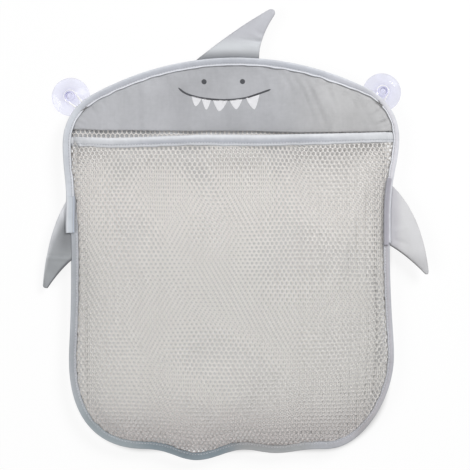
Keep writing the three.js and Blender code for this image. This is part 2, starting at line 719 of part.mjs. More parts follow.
// Materials, in the colours of the object
const material = (color, roughness) => new THREE.MeshStandardMaterial({ color, roughness, metalness: 0 });
const greyCloth = () => material(0xb9babe, 0.85);
const lining = () => material(0xb2b3b7, 0.9);
const netYarn = () => material(0xcfccca, 0.8);
const edgeRibbon = () => material(0xc4c6cb, 0.75);
const fibre = () => material(0xe6e6e4, 0.95);
const sheetPlastic = () => material(0xdcdcd8, 0.6);
const elastic = () => material(0xf2f2f0, 0.7);
const clearVinyl = () => material(0xeaebf6, 0.15);

function piece(name, geometry, surface) {
  const mesh = new THREE.Mesh(geometry, surface);
  mesh.name = name;
  return mesh;
}

// Assembly: the bag on its own plane, then the cups and loops against the wall
const bag = new THREE.Group();
bag.name = "bag";
bag.position.y = bagPlane;
const headRun = edgeRun(edgeIndex(-1, -HEAD_TAPE_LEFT_END), edgeIndex(1, -HEAD_TAPE_RIGHT_END));
const pocketRun = edgeRun(edgeIndex(1, -POCKET_TAPE_RIGHT_END), edgeIndex(-1, -POCKET_TAPE_LEFT_END));
bag.add(
  piece("head_front_cloth", sheet([headCloth], CLOTH, () => clothDepth), greyCloth()),
  piece("head_stiffener", sheet([stiffener], STIFFENER, () => 0), sheetPlastic()),
  piece("head_back_cloth", sheet([liningCloth], CLOTH, () => -clothDepth), lining()),
  piece("back_net", backNet(), netYarn()),
  piece("front_net", frontNet(), netYarn()),
  piece("pocket_hem_tape", hemTape(), edgeRibbon()),
  piece("head_edge_tape", edgeTape(headRun, HEAD_LEAF, headTapeHalf, headTapeProud), edgeRibbon()),
  piece("pocket_edge_tape", edgeTape(pocketRun, POCKET_LEAF, pocketTapeHalf, () => pocketProud), edgeRibbon()),
);

function addFin(name, drawing, place) {
  const fin = new THREE.Group();
  fin.name = name;
  const solids = finSolids(drawing);
  fin.add(
    piece(`${name}_front_cloth`, solids.front_cloth, greyCloth()),
    piece(`${name}_back_cloth`, solids.back_cloth, lining()),
    piece(`${name}_wadding`, solids.wadding, fibre()),
  );
  place(fin);
  bag.add(fin);
}

addFin("dorsal_fin", dorsalDrawing(), (fin) => fin.position.copy(dorsalHinge));

// A positive bend takes a fin's tip towards the wall
function hangFin(side, frame, bend) {
  return (fin) => {
    fin.position.set(frame.top.x, 0, frame.top.y);
    fin.rotateY(frame.tilt);
    fin.rotateZ(side * THREE.MathUtils.degToRad(bend));
  };
}

const rightDrawing = sideFinDrawing(1, RIGHT_FIN_REACH, rightBase.map(rightFrame.local));
const leftDrawing = sideFinDrawing(-1, LEFT_FIN_REACH, [...leftBase, leftFoot].map(leftFrame.local));
addFin("right_fin", rightDrawing, hangFin(1, rightFrame, 0));
addFin("left_fin", leftDrawing, hangFin(-1, leftFrame, LEFT_FIN_BEND));

const group = new THREE.Group();
group.name = "bath_toy_organizer";
group.add(bag);

function addHanger(side, cup, root) {
  const vinyl = piece(`${side}_suction_cup`, new THREE.LatheGeometry(cupProfile(), LATHE_STEPS), clearVinyl());
  vinyl.position.set(cup.x, 0, cup.y);
  group.add(vinyl, piece(`${side}_hanging_loop`, loopSolid(cup, root), elastic()));
}

const leftPlace = (inset, z) => point(inset - SHOULDER_HALF, z);
const rightPlace = (inset, z) => point(SHOULDER_HALF - inset, z);
addHanger("left", leftPlace(LEFT_CUP_INSET, LEFT_CUP_Z), leftPlace(LEFT_ROOT_INSET, LEFT_ROOT_Z));
addHanger("right", rightPlace(RIGHT_CUP_INSET, RIGHT_CUP_Z), rightPlace(RIGHT_ROOT_INSET, RIGHT_ROOT_Z));

export default group;
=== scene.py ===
# %% [markdown]
# A bath toy organizer hangs on a smooth wall from two suction cups. Its head is a stiff arch of
# grey cloth with a shark's face, its pocket is two panels of knitted net, and every edge is bound
# with a folded tape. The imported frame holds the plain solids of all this. The lesson dresses them:
# each soft solid is swapped for a piece with its real weave, folds and stitches.

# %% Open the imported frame
import json
import math

import bmesh
import bpy
import numpy as np
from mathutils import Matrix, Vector


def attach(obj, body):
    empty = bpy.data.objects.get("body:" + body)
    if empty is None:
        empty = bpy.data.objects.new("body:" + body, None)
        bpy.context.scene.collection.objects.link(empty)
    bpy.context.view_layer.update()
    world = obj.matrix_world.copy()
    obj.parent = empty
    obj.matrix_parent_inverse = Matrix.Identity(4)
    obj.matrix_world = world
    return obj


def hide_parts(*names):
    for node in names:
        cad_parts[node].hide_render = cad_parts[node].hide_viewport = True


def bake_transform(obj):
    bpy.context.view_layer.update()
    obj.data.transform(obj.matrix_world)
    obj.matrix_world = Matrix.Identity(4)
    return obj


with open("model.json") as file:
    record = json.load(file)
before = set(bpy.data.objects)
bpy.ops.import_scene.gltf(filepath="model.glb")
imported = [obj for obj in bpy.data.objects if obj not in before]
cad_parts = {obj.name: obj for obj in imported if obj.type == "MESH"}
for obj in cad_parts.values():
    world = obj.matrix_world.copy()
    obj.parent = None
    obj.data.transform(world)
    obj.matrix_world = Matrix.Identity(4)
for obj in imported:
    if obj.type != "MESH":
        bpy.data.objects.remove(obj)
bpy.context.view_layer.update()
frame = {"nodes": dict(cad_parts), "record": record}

MM = 0.001
NODES = frame["nodes"]
JOINTS = {joint["name"]: joint for joint in frame["record"]["behaviour"]["joints"]}

# %% [markdown]
# The camera comes first, because it decides how fine each piece has to be. It could be set by eye,
# but the photograph looks straight at the bag from some distance, so its place can be worked out: the
# lens is long, and the frame is a square whose side covers 489 mm at the bag's own plane. One pixel
# is then a little over a millimetre.

# %% Camera
BAG_Y = -13.65
VIEW_WIDTH = 488.8
VIEW_X = 4.2
VIEW_Z = -146.6
VIEW_DISTANCE = 1500.0
SENSOR = 36.0

camera_data = bpy.data.cameras.new("front_camera")
camera_data.sensor_width = SENSOR
camera_data.lens = SENSOR * VIEW_DISTANCE / VIEW_WIDTH
camera = bpy.data.objects.new("front_camera", camera_data)
camera.location = Vector((VIEW_X, BAG_Y - VIEW_DISTANCE, VIEW_Z)) * MM
camera.rotation_euler = (math.pi / 2, 0, 0)
bpy.context.scene.collection.objects.link(camera)
bpy.context.scene.camera = camera
print("lens", round(camera_data.lens, 1), "mm")

# %% [markdown]
# Most pieces here are grids of points worked out with numpy. They could be modelled by hand, but a
# grid follows a formula exactly, and its rows are there again for the seams. A few helpers turn such
# grids into meshes, hang each mesh on its CAD body, and hide the solid that it stands for.

# %% Helpers for meshes
def grid_quads(rows, columns, start=0):
    """Four-cornered faces of a grid of points that is stored row by row."""
    corner = start + np.arange(rows * columns).reshape(rows, columns)[:-1, :-1]
    quads = [corner, corner + 1, corner + columns + 1, corner + columns]
    return np.stack(quads, -1).reshape(-1, 4)


def slab(front, back):
    """A closed thin body from two grids of points that lie behind each other."""
    rows, columns = front.shape[:2]
    count = rows * columns
    index = np.arange(count).reshape(rows, columns)
    rim = np.concatenate([index[0, :-1], index[:-1, -1], index[-1, :0:-1], index[:0:-1, 0]])
    after = np.roll(rim, -1)
    walls = np.stack([after, rim, rim + count, after + count], -1)
    faces = [grid_quads(rows, columns), grid_quads(rows, columns, count)[:, ::-1], walls]
    return np.concatenate([front.reshape(-1, 3), back.reshape(-1, 3)]), np.concatenate(faces)


def mesh_piece(name, points, faces, uv=None):
    """A smooth-shaded mesh object from points in millimetres, with its faces turned outwards."""
    mesh = bpy.data.meshes.new(name)
    mesh.from_pydata((np.asarray(points) * MM).tolist(), [], [list(map(int, f)) for f in faces])
    if uv is not None:
        corner = np.empty(len(mesh.loops), int)
        mesh.loops.foreach_get("vertex_index", corner)
        layer = mesh.uv_layers.new(name="cut")
        layer.data.foreach_set("uv", (np.asarray(uv)[corner] * MM).ravel())
    work = bmesh.new()
    work.from_mesh(mesh)
    bmesh.ops.recalc_face_normals(work, faces=work.faces)
    work.to_mesh(mesh)
    work.free()
    mesh.shade_smooth()
    obj = bpy.data.objects.new(name, mesh)
    bpy.context.scene.collection.objects.link(obj)
    return obj


def hang(obj, body, slot, material, *replaced):
    """Puts a piece on its body, names its finish and hides the solids that it stands for."""
    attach(obj, body)
    if obj.data.materials:
        obj.data.materials.clear()
    obj.data.materials.append(material)
    if replaced:
        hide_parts(*replaced)
    print(f"{obj.name}: {len(obj.data.polygons)} faces on {body}")
    return obj


print("a grid of 3 by 4 points has", len(grid_quads(3, 4)), "faces")

# %% [markdown]
# Seams, cords and outlines are lines of points. These helpers measure a line, set its points out
# evenly and draw a smooth curve through a few of them. Cloth is never quite even, so a ripple adds up
# waves that run in different directions. Noise would do as well, but waves can be kept to a length.

# %% Helpers for lines and ripples
def run_along(line):
    """The length from the start of a line of points to each of them."""
    return np.concatenate([[0], np.cumsum(np.linalg.norm(np.diff(line, axis=0), axis=1))])


def set_out(line, count):
    """A line of points set out again, a given number of them at even distances."""
    run = run_along(line)
    stops = np.linspace(0, run[-1], count)
    return np.stack([np.interp(stops, run, column) for column in line.T], -1)


def spline(a, b, c, d, steps):
    """Points of a smooth curve from each b to its c, with a before them and d after them."""
    t = np.linspace(0, 1, steps, endpoint=False)[None, :, None]
    return (
        b
        + (c - a) * t / 2
        + (2 * a - 5 * b + 4 * c - d) * t**2 / 2
        + (3 * b - a - 3 * c + d) * t**3 / 2
    )


def curve_through(points, count):
    """A smooth open line through a few points, in even steps."""
    points = np.asarray(points, float)
    padded = np.vstack([2 * points[0] - points[1], points, 2 * points[-1] - points[-2]])
    a, b, c, d = (padded[k : len(padded) - 3 + k][:, None] for k in range(4))
    line = spline(a, b, c, d, 24).reshape(-1, points.shape[1])
    return set_out(np.vstack([line, points[-1:]]), count)


def smoothstep(share):
    """0 below 0 and 1 above 1, with a soft change between."""
    share = np.clip(share, 0, 1)
    return share * share * (3 - 2 * share)


def ripple(x, z, wavelength, seed, waves=7):
    """A wandering surface between about -1 and 1, the same each time for one seed."""
    draw = np.random.default_rng(seed)
    total = 0.0
    for _ in range(waves):
        turn, shift = draw.uniform(0, 2 * math.pi, 2)
        length = wavelength * draw.uniform(0.7, 1.5)
        along = x * math.cos(turn) + z * math.sin(turn)
        total = total + np.sin(2 * math.pi * along / length + shift)
    return total / (0.8 * waves**0.5)


print("a quarter of the way, the soft step is at", smoothstep(0.25).round(3))

# %% [markdown]
# Every finish is made of shader nodes, so it needs no picture and stays sharp close up. Nodes could
# be wired by hand in the editor, but in a script each step can be read and changed. Small helpers
# keep the node code short.

# %% Helpers for nodes
def linear(red, green, blue):
    """A colour seen on a screen, 0 to 255, as the plain light values that shaders use."""
    seen = [value / 255 for value in (red, green, blue)]
    light = [v / 12.92 if v <= 0.04045 else ((v + 0.055) / 1.055) ** 2.4 for v in seen]
    return (*light, 1.0)


def put(tree, socket, value):
    """Feeds a socket from another socket, or sets its own value."""
    if isinstance(value, bpy.types.NodeSocket):
        tree.links.new(value, socket)
    else:
        socket.default_value = value


def node(tree, kind, settings=(), **inputs):
    """A shader node with its settings and inputs; an underscore in an input's name is a space."""
    made = tree.nodes.new("ShaderNode" + kind)
    for key, value in dict(settings).items():
        setattr(made, key, value)
    for key, value in inputs.items():
        put(tree, made.inputs[key.replace("_", " ")], value)
    return made


def calc(tree, operation, *values):
    """The result of one step of arithmetic on sockets or numbers."""
    made = node(tree, "Math", {"operation": operation})
    for socket, value in zip(made.inputs, values):
        put(tree, socket, value)
    return made.outputs[0]


def blend_colours(tree, factor, first, second, mode="MIX"):
    """The first colour where the factor is 0, and the second laid over it where it is 1."""
    made = node(tree, "Mix", {"data_type": "RGBA", "blend_type": mode})
    put(tree, made.inputs["Factor"], factor)
    put(tree, made.inputs[6], first)
    put(tree, made.inputs[7], second)
    return made.outputs[2]


print("middle grey on a screen is", round(linear(128, 128, 128)[0], 3), "of full light")

# %% [markdown]
# An effect that more than one material needs could be wired again in each, but it is made once, as a
# node group with named sockets. The groups put out only colours, masks and heights; the shader stays
# in each material, and a height tilts its shading.

# %% Helpers for groups and materials
def node_group(name, inputs, outputs):
    """A shader node group with named sockets; returns its tree and the sockets inside it."""
    tree = bpy.data.node_groups.new(name, "ShaderNodeTree")
    for socket, (kind, value) in inputs.items():
        made = tree.interface.new_socket(name=socket, in_out="INPUT", socket_type="NodeSocket" + kind)
        if value is not None:
            made.default_value = value
    for socket, kind in outputs.items():
        tree.interface.new_socket(name=socket, in_out="OUTPUT", socket_type="NodeSocket" + kind)
    return tree, tree.nodes.new("NodeGroupInput").outputs, tree.nodes.new("NodeGroupOutput").inputs


def use_group(tree, group, **inputs):
    """Places a node group in a tree and returns its outputs."""
    made = tree.nodes.new("ShaderNodeGroup")
    made.node_tree = group
    for key, value in inputs.items():
        put(tree, made.inputs[key], value)
    return made.outputs


def finish_named(name, **plain):
    """A new material with its shader; plain values go straight on the shader's own sockets."""
    material = bpy.data.materials.new(name)
    material.use_nodes = True
    tree = material.node_tree
    shader = tree.nodes["Principled BSDF"]
    for key, value in plain.items():
        shader.inputs[key.replace("_", " ")].default_value = value
    return material, tree, shader


def bump(tree, shader, height, distance):
    """Tilts the shading by a height that varies over so many millimetres."""
    made = node(tree, "Bump", Strength=1.0, Distance=distance * MM, Height=height)
    tree.links.new(made.outputs["Normal"], shader.inputs["Normal"])


print("the frame brings", len(bpy.data.materials), "materials")

# %% [markdown]
# Woven cloth is threads that pass over and under each other. They are far too many to model, so the
# group draws both sets of threads as ridges and lets a chequerboard choose which one lies on top.
# Real thread is uneven, so a stretched noise makes some threads a little lighter than others.

# %% Shared effect: woven threads
UNEVEN_ACROSS = 900.0
UNEVEN_ALONG = 40.0
weave, weave_in, weave_out = node_group(
    "woven_threads",
    {"Place": ("Vector", None), "Threads per metre": ("Float", 2500.0)},
    {"Height": "Float", "Thread shade": "Float"},
)
place = node(weave, "SeparateXYZ", Vector=weave_in["Place"])
across = calc(weave, "MULTIPLY", place.outputs["X"], weave_in["Threads per metre"])
along = calc(weave, "MULTIPLY", place.outputs["Z"], weave_in["Threads per metre"])
warp_ridge = calc(weave, "ABSOLUTE", calc(weave, "SINE", calc(weave, "MULTIPLY", across, math.pi)))
weft_ridge = calc(weave, "ABSOLUTE", calc(weave, "SINE", calc(weave, "MULTIPLY", along, math.pi)))
cell = calc(weave, "ADD", calc(weave, "FLOOR", across), calc(weave, "FLOOR", along))
on_top = calc(weave, "FLOORED_MODULO", cell, 2.0)
warp_high = calc(weave, "MULTIPLY", warp_ridge, on_top)
weft_high = calc(weave, "MULTIPLY", weft_ridge, calc(weave, "SUBTRACT", 1.0, on_top))
put(weave, weave_out["Height"], calc(weave, "ADD", warp_high, weft_high))
streaks = []
for stretch_x, stretch_z in ((UNEVEN_ACROSS, UNEVEN_ALONG), (UNEVEN_ALONG, UNEVEN_ACROSS)):
    scaled = node(weave, "VectorMath", {"operation": "MULTIPLY"})
    put(weave, scaled.inputs[0], weave_in["Place"])
    scaled.inputs[1].default_value = (stretch_x, UNEVEN_ACROSS, stretch_z)
    streak = node(weave, "TexNoise", Vector=scaled.outputs[0], Scale=1.0, Detail=2.0)
    streaks.append(streak.outputs["Fac"])
put(weave, weave_out["Thread shade"], calc(weave, "MULTIPLY", calc(weave, "ADD", *streaks), 0.5))
print("made", weave.name)

# %% [markdown]
# Cloth that has been folded, packed and handled is never one even tone. The patches could be painted,
# but noise in the object's own space needs no map and shows no seam. This group lightens and darkens
# a colour in soft patches of two sizes and by its threads. Its three shares come to 1 on average, so
# the colour keeps its level. Every fabric here uses it with its own amount.

# %% Shared effect: handled cloth
BROAD_PATCHES, BROAD_SHARE = 28.0, 1.2
FINE_PATCHES, FINE_SHARE = 260.0, 0.4
THREAD_SHARE = 0.4
handled, handled_in, handled_out = node_group(
    "handled_cloth",
    {
        "Place": ("Vector", None),
        "Color": ("Color", (0.5, 0.5, 0.5, 1.0)),
        "Thread shade": ("Float", 0.5),
        "Amount": ("Float", 0.1),
    },
    {"Color": "Color"},
)
patches = calc(handled, "MULTIPLY", handled_in["Thread shade"], THREAD_SHARE)
for scale, share in ((BROAD_PATCHES, BROAD_SHARE), (FINE_PATCHES, FINE_SHARE)):
    noise = node(handled, "TexNoise", Vector=handled_in["Place"], Scale=scale, Detail=3.0)
    patches = calc(handled, "ADD", patches, calc(handled, "MULTIPLY", noise.outputs["Fac"], share))
swing = calc(handled, "MULTIPLY", calc(handled, "SUBTRACT", patches, 1.0), handled_in["Amount"])
level = calc(handled, "ADD", swing, 1.0)
lit = node(handled, "VectorMath", {"operation": "SCALE"})
put(handled, lit.inputs[0], handled_in["Color"])
put(handled, lit.inputs["Scale"], level)
put(handled, handled_out["Color"], lit.outputs[0])
print("made", handled.name)

# %% [markdown]
# The tapes are narrow ribbons with fine ribs across them. They show lines along their length: the
# fold and the lip, mostly painted lighter as highlights, and the seam and a groove where they end on
# the cloth, which carry painted shade. The ribs could follow the object's space, but the tape bends
# round the bag. So the group reads the cut's own coordinates: length along the tape first, then
# distance from the fold. A band's place and width are shares of the leaf, which is one half of the
# folded ribbon. The fold's painted highlight may be moved a little in from the fold.

# %% Shared effect: ribbed tape
RIB_THREAD = 0.00045
FOLD_WIDTH = 0.26
TAPE_BANDS = {"Seam": (0.73, 0.05), "Edge": (0.87, 0.07), "Groove": (1.0, 0.04)}
ribbed, ribbed_in, ribbed_out = node_group(
    "ribbed_tape",
    {
        "Place": ("Vector", None),
        "Leaf": ("Float", 0.008),
        "Rib": ("Float", 0.0007),
        "Crest": ("Float", 0.0),
    },
    {"Height": "Float", "Fold": "Float", "Seam": "Float", "Edge": "Float", "Groove": "Float"},
)
cut_place = node(ribbed, "SeparateXYZ", Vector=ribbed_in["Place"])
rib_phase = calc(ribbed, "DIVIDE", cut_place.outputs["X"], ribbed_in["Rib"])
rib_wave = calc(ribbed, "SINE", calc(ribbed, "MULTIPLY", rib_phase, 2 * math.pi))
thread_phase = calc(ribbed, "MULTIPLY", cut_place.outputs["Y"], 2 * math.pi / RIB_THREAD)
thread_wave = calc(ribbed, "MULTIPLY", calc(ribbed, "SINE", thread_phase), 0.4)
put(ribbed, ribbed_out["Height"], calc(ribbed, "ADD", rib_wave, thread_wave))
from_fold = calc(ribbed, "DIVIDE", calc(ribbed, "ABSOLUTE", cut_place.outputs["Y"]), ribbed_in["Leaf"])


def band(tree, value, middle, width):
    """1 on a line across the tape, falling softly to 0 beside it."""
    off = calc(tree, "DIVIDE", calc(tree, "SUBTRACT", value, middle), width)
    return calc(tree, "EXPONENT", calc(tree, "MULTIPLY", calc(tree, "MULTIPLY", off, off), -1.0))


put(ribbed, ribbed_out["Fold"], band(ribbed, from_fold, ribbed_in["Crest"], FOLD_WIDTH))
for line_name, (middle, width) in TAPE_BANDS.items():
    put(ribbed, ribbed_out[line_name], band(ribbed, from_fold, middle, width))
print("made", ribbed.name)

# %% [markdown]
# Yarn, sewing thread and braided elastic all show slanting stripes where their fibres twist round.
# True stripes would need coordinates along every strand. At this scale nobody can follow one strand,
# so one group makes slanting stripes through space, and each strand cuts through them.

# %% Shared effect: twisted yarn
twist, twist_in, twist_out = node_group(
    "twisted_yarn",
    {"Place": ("Vector", None), "Turns per metre": ("Float", 900.0)},
    {"Height": "Float"},
)
twist_place = node(twist, "SeparateXYZ", Vector=twist_in["Place"])
upright_place = calc(twist, "ADD", twist_place.outputs["Y"], twist_place.outputs["Z"])
slant = calc(twist, "ADD", twist_place.outputs["X"], upright_place)
stripe = calc(twist, "MULTIPLY", calc(twist, "MULTIPLY", slant, twist_in["Turns per metre"]), 2 * math.pi)
put(twist, twist_out["Height"], calc(twist, "SINE", stripe))
print("made", twist.name)

# %% [markdown]
# Now the finishes. The lamps alone leave the cloth too even, so each cloth has tones that take over
# along an axis or across a fin: painted light and shade, lighter where light falls and darker in
# shade. One function puts the weave, the tones and the handling together.

# %% A finish for cloth
THREADS = 2600.0


def soft_ramp(tree, value, start, end):
    """0 where a value is at its start and 1 at its end, with a soft change between."""
    ends = {"From_Min": start, "From_Max": end}
    made = node(tree, "MapRange", {"interpolation_type": "SMOOTHSTEP"}, Value=value, **ends)
    return made.outputs["Result"]


def level_mask(tree, spot, axis, start, end):
    """0 at one place on an axis and 1 at another, in millimetres."""
    value = node(tree, "SeparateXYZ", Vector=spot).outputs[axis]
    return soft_ramp(tree, value, start * MM, end * MM)


def graded(tree, spot, colour, tones):
    """A colour that others take over from; each has an axis and the places from which and to which.

    The axis "rim" is a fin's own: 0 at its outer edge and 1 at its lower edge.
    """
    for other, axis, start, end in tones:
        if axis == "rim":
            share = node(tree, "Attribute", {"attribute_name": "rim"}).outputs["Fac"]
            mask = soft_ramp(tree, share, start, end)
        else:
            mask = level_mask(tree, spot, axis, start, end)
        colour = blend_colours(tree, mask, colour, other)
    return colour


def woven_finish(name, colour, amount, roughness, sheen, threads=THREADS, tones=()):
    """Cloth with so many threads to the metre; amount is how uneven its tone is."""
    material, tree, shader = finish_named(
        name, Roughness=roughness, Sheen_Weight=sheen, Sheen_Roughness=0.35, Specular_IOR_Level=0.35
    )
    spot = node(tree, "TexCoord").outputs["Object"]
    colour = graded(tree, spot, colour, tones)
    threads_out = use_group(tree, weave, **{"Place": spot, "Threads per metre": threads})
    shade = {"Thread shade": threads_out["Thread shade"]}
    tone = use_group(tree, handled, Place=spot, Color=colour, Amount=amount, **shade)
    put(tree, shader.inputs["Base Color"], tone["Color"])
    bump(tree, shader, threads_out["Height"], 0.05)
    return material


print("cloth has", THREADS, "threads to the metre")

# %% [markdown]
# The head and the fins are cut from the same grey satin-faced cloth, which has a soft sheen. One
# material could serve them all, but each piece has its own tones of painted light and shade. The fins
# are turned differently to the light, and their painted shade is darkest at their bases and lower
# edges. The lining on the back is a plainer weave of nearly the same grey; where it shows in the slot
# above the hem, its lower edge is painted paler, as light, and its left part darker, as shade.

# %% Cloth finishes
head_cloth = woven_finish(
    "grey_head_cloth",
    linear(180, 181, 185),
    amount=0.34,
    roughness=0.62,
    sheen=0.25,
    # Painted shade in the middle of the head and painted light on its right
    tones=[(linear(174, 175, 179), "X", -110.0, -30.0), (linear(185, 185, 186), "X", 30.0, 120.0)],
)
dorsal_cloth = woven_finish(
    "grey_dorsal_cloth",
    linear(206, 209, 213),
    amount=0.05,
    roughness=0.48,
    sheen=0.35,
    # Painted shade: darker towards the top and much darker at the base
    tones=[(linear(189, 190, 196), "Z", 48.0, 64.0), (linear(140, 142, 146), "Z", 48.0, 37.0)],
)
right_fin_cloth = woven_finish(
    "grey_right_fin_cloth",
    linear(209, 209, 211),
    amount=0.06,
    roughness=0.48,
    sheen=0.35,
    # Painted shade near the tape, towards the bottom, and as a dark line along the lower edge
    tones=[
        (linear(194, 193, 198), "X", 180.0, 170.0),
        (linear(196, 196, 198), "Z", -158.0, -178.0),
        (linear(84, 84, 86), "rim", 0.955, 1.0),
    ],
)
left_fin_cloth = woven_finish(
    "grey_left_fin_cloth",
    # Painted shade: the whole fin is darker, as it is turned away from the light
    linear(172, 174, 178),
    amount=0.1,
    roughness=0.55,
    sheen=0.3,
    # Painted shade near the tape, towards the bottom and along the lower edge; painted light towards the
    # outer edge
    tones=[
        (linear(130, 132, 135), "X", -188.0, -172.0),
        (linear(158, 161, 164), "Z", -150.0, -176.0),
        (linear(228, 230, 234), "rim", 0.42, 0.0),
        (linear(100, 102, 106), "rim", 0.93, 1.0),
    ],
)
lining_cloth = woven_finish(
    "grey_lining",
    linear(190, 191, 194),
    amount=0.12,
    roughness=0.8,
    sheen=0.15,
    threads=2000.0,
    # Painted light on the lower edge, in the slot above the hem, and painted shade on the left
    tones=[(linear(216, 217, 220), "Z", -30.0, -38.0), (linear(178, 179, 182), "X", -55.0, -105.0)],
)
print("made", head_cloth.name, dorsal_cloth.name, right_fin_cloth.name, left_fin_cloth.name)

# %% [markdown]
# The tapes are ribbed ribbon, with a line of painted shade where they end on the cloth. One function
# makes them all from three greys: the fold's, the leaf's and the lip's. A fold or lip lighter than the
# leaf is a painted highlight, a darker one is painted shade, and the seam's grey is painted shade too.
# The colours could be painted on the mesh, but masks can be moved by changing one number.

# %% A finish for tapes
# Painted shade towards the pocket tape's bottom: the share of its colour it keeps, darkest left of the
# middle
BOTTOM_SHADE_SHARE = (0.82, 0.88, 0.88, 1.0)
BOTTOM_SHADE_TONES = [
    ((0.58, 0.66, 0.69, 1.0), "X", -105.0, -80.0),
    ((0.93, 0.91, 0.87, 1.0), "X", -12.0, 18.0),
    ((1.0, 1.0, 1.0, 1.0), "X", 68.0, 95.0),
    ((0.82, 0.8, 0.78, 1.0), "X", 118.0, 138.0),
]
# Painted shade in the groove where a tape ends on the cloth, and along its seam
SHADED_GAP = linear(140, 142, 147)
SHADED_SEAM = linear(172, 175, 182)


def tape_finish(name, leaf, fold, base, lip, tones=(), highlight_at=0.0, gap=SHADED_GAP, darkened=None):
    """Ribbed tape with greys for fold, leaf and lip as painted highlight and shade, and painted shade at
    its end on the cloth.

    Between the two heights in darkened, painted shade makes the tape darker, most of all left of the
    middle.
    """
    material, tree, shader = finish_named(
        name, Roughness=0.55, Sheen_Weight=0.3, Sheen_Roughness=0.4, Specular_IOR_Level=0.4
    )
    cut = node(tree, "UVMap", {"uv_map": "cut"}).outputs["UV"]
    spot = node(tree, "TexCoord").outputs["Object"]
    ribs = use_group(tree, ribbed, Place=cut, Leaf=leaf * MM, Crest=highlight_at)
    tone = blend_colours(tree, ribs["Fold"], graded(tree, spot, base, tones), fold)
    tone = blend_colours(tree, ribs["Edge"], tone, lip)
    tone = blend_colours(tree, ribs["Seam"], tone, SHADED_SEAM)
    tone = blend_colours(tree, ribs["Groove"], tone, gap)
    if darkened:
        share = graded(tree, spot, BOTTOM_SHADE_SHARE, BOTTOM_SHADE_TONES)
        tone = blend_colours(tree, level_mask(tree, spot, "Z", *darkened), tone, share, "MULTIPLY")
    tone = use_group(tree, handled, Place=spot, Color=tone, Amount=0.34)["Color"]
    put(tree, shader.inputs["Base Color"], tone)
    bump(tree, shader, ribs["Height"], 0.04)
    return material


print("dulled tape keeps", BOTTOM_SHADE_SHARE[:3], "of its colour")

# %% [markdown]
# The head's tape is pale at both ends and greyer between. The hem is greyer in its middle, as painted
# shade. The pocket's tape is greyer still, and painted shade darkens it towards its bottom, most of all
# left of the middle. The two turned ends lie over other tape and have greys of their own; the left
# one's darker lip is painted shade. Each tape needs the width of its leaf, so that the fold, the seam
# and the lip fall in the right places.

# %% Tape finishes
HEAD_LEAF = 8.8
POCKET_LEAF = 8.0
HEM_LEAF = 10.0
head_tape = tape_finish(
    "head_edge_tape",
    HEAD_LEAF,
    fold=linear(214, 217, 223),
    base=linear(200, 204, 211),
    lip=linear(230, 232, 238),
    tones=[
        (linear(178, 181, 189), "X", -164.0, -140.0),
        (linear(186, 187, 194), "X", 80.0, 130.0),
        (linear(214, 213, 219), "X", 140.0, 164.0),
    ],
)
pocket_tape = tape_finish(
    "pocket_edge_tape",
    POCKET_LEAF,
    fold=linear(182, 185, 191),
    base=linear(163, 167, 172),
    lip=linear(190, 192, 198),
    tones=[(linear(184, 182, 188), "X", 60.0, 150.0)],
    # Painted shade towards the bottom
    darkened=(-295.0, -350.0),
)
hem_tape = tape_finish(
    "hem_tape",
    HEM_LEAF,
    fold=linear(220, 222, 226),
    base=linear(208, 210, 214),
    lip=linear(200, 202, 206),
    # Painted shade in the middle of the hem
    tones=[(linear(174, 177, 185), "X", -150.0, -70.0), (linear(208, 210, 214), "X", 70.0, 150.0)],
    # The fold's painted highlight lies a little below the fold
    highlight_at=0.12,
    gap=linear(200, 201, 204),
)
left_end_tape = tape_finish(
    "left_end_tape",
    HEAD_LEAF,
    fold=linear(218, 221, 226),
    base=linear(196, 202, 209),
    # The darker lip is painted shade
    lip=linear(170, 178, 191),
)
right_end_tape = tape_finish(
    "right_end_tape",
    HEAD_LEAF,
    fold=linear(178, 176, 185),
    base=linear(163, 161, 170),
    lip=linear(150, 148, 158),
)
print("made", head_tape.name, pocket_tape.name, hem_tape.name, left_end_tape.name, right_end_tape.name)

# %% [markdown]
# The net's yarn is nearly white: seen from a distance, two layers of it over a shaded wall make the
# warm light grey of the pocket. Thin yarn lets light through. A true volume would take long to render,
# so for shadow rays the yarn turns into a tinted filter, and the back net and the wall get some light.
# Sewing threads, elastic and the face's ink use the same finish with their own colours. The yarn is
# painted greyer towards the pocket's bottom, as shade. The dark thread of the bar tacks and the grey
# thread of the head's seam are partly painted shade.

# %% Yarn, thread and ink finishes
NET_TURNS = 1400.0
ELASTIC_TURNS = 1600.0
SEWING_TURNS = 2600.0


def mix_shaders(tree, factor, first, second):
    """The first shader where the factor is 0 and the second where it is 1."""
    made = node(tree, "MixShader")
    for socket, value in zip(made.inputs, (factor, first, second)):
        put(tree, socket, value)
    return made.outputs[0]


def let_light_pass(tree, shader, colour):
    """For shadow rays the finish turns into a tinted filter, so that light goes on through it."""
    passing = node(tree, "BsdfTransparent", Color=colour).outputs[0]
    shadow_ray = node(tree, "LightPath").outputs["Is Shadow Ray"]
    either = mix_shaders(tree, shadow_ray, shader.outputs[0], passing)
    put(tree, tree.nodes["Material Output"].inputs["Surface"], either)


def yarn_finish(name, colour, amount, turns, passes=None, tones=()):
    """Twisted fibre with so many turns to the metre; passes is the tint of light that goes through it."""
    material, tree, shader = finish_named(name, Roughness=0.7, Sheen_Weight=0.2, Specular_IOR_Level=0.3)
    spot = node(tree, "TexCoord").outputs["Object"]
    colour = graded(tree, spot, colour, tones)
    tone = use_group(tree, handled, Place=spot, Color=colour, Amount=amount)["Color"]
    put(tree, shader.inputs["Base Color"], tone)
    twisted = use_group(tree, twist, **{"Place": spot, "Turns per metre": turns})
    bump(tree, shader, twisted["Height"], 0.05)
    if passes:
        let_light_pass(tree, shader, passes)
    return material


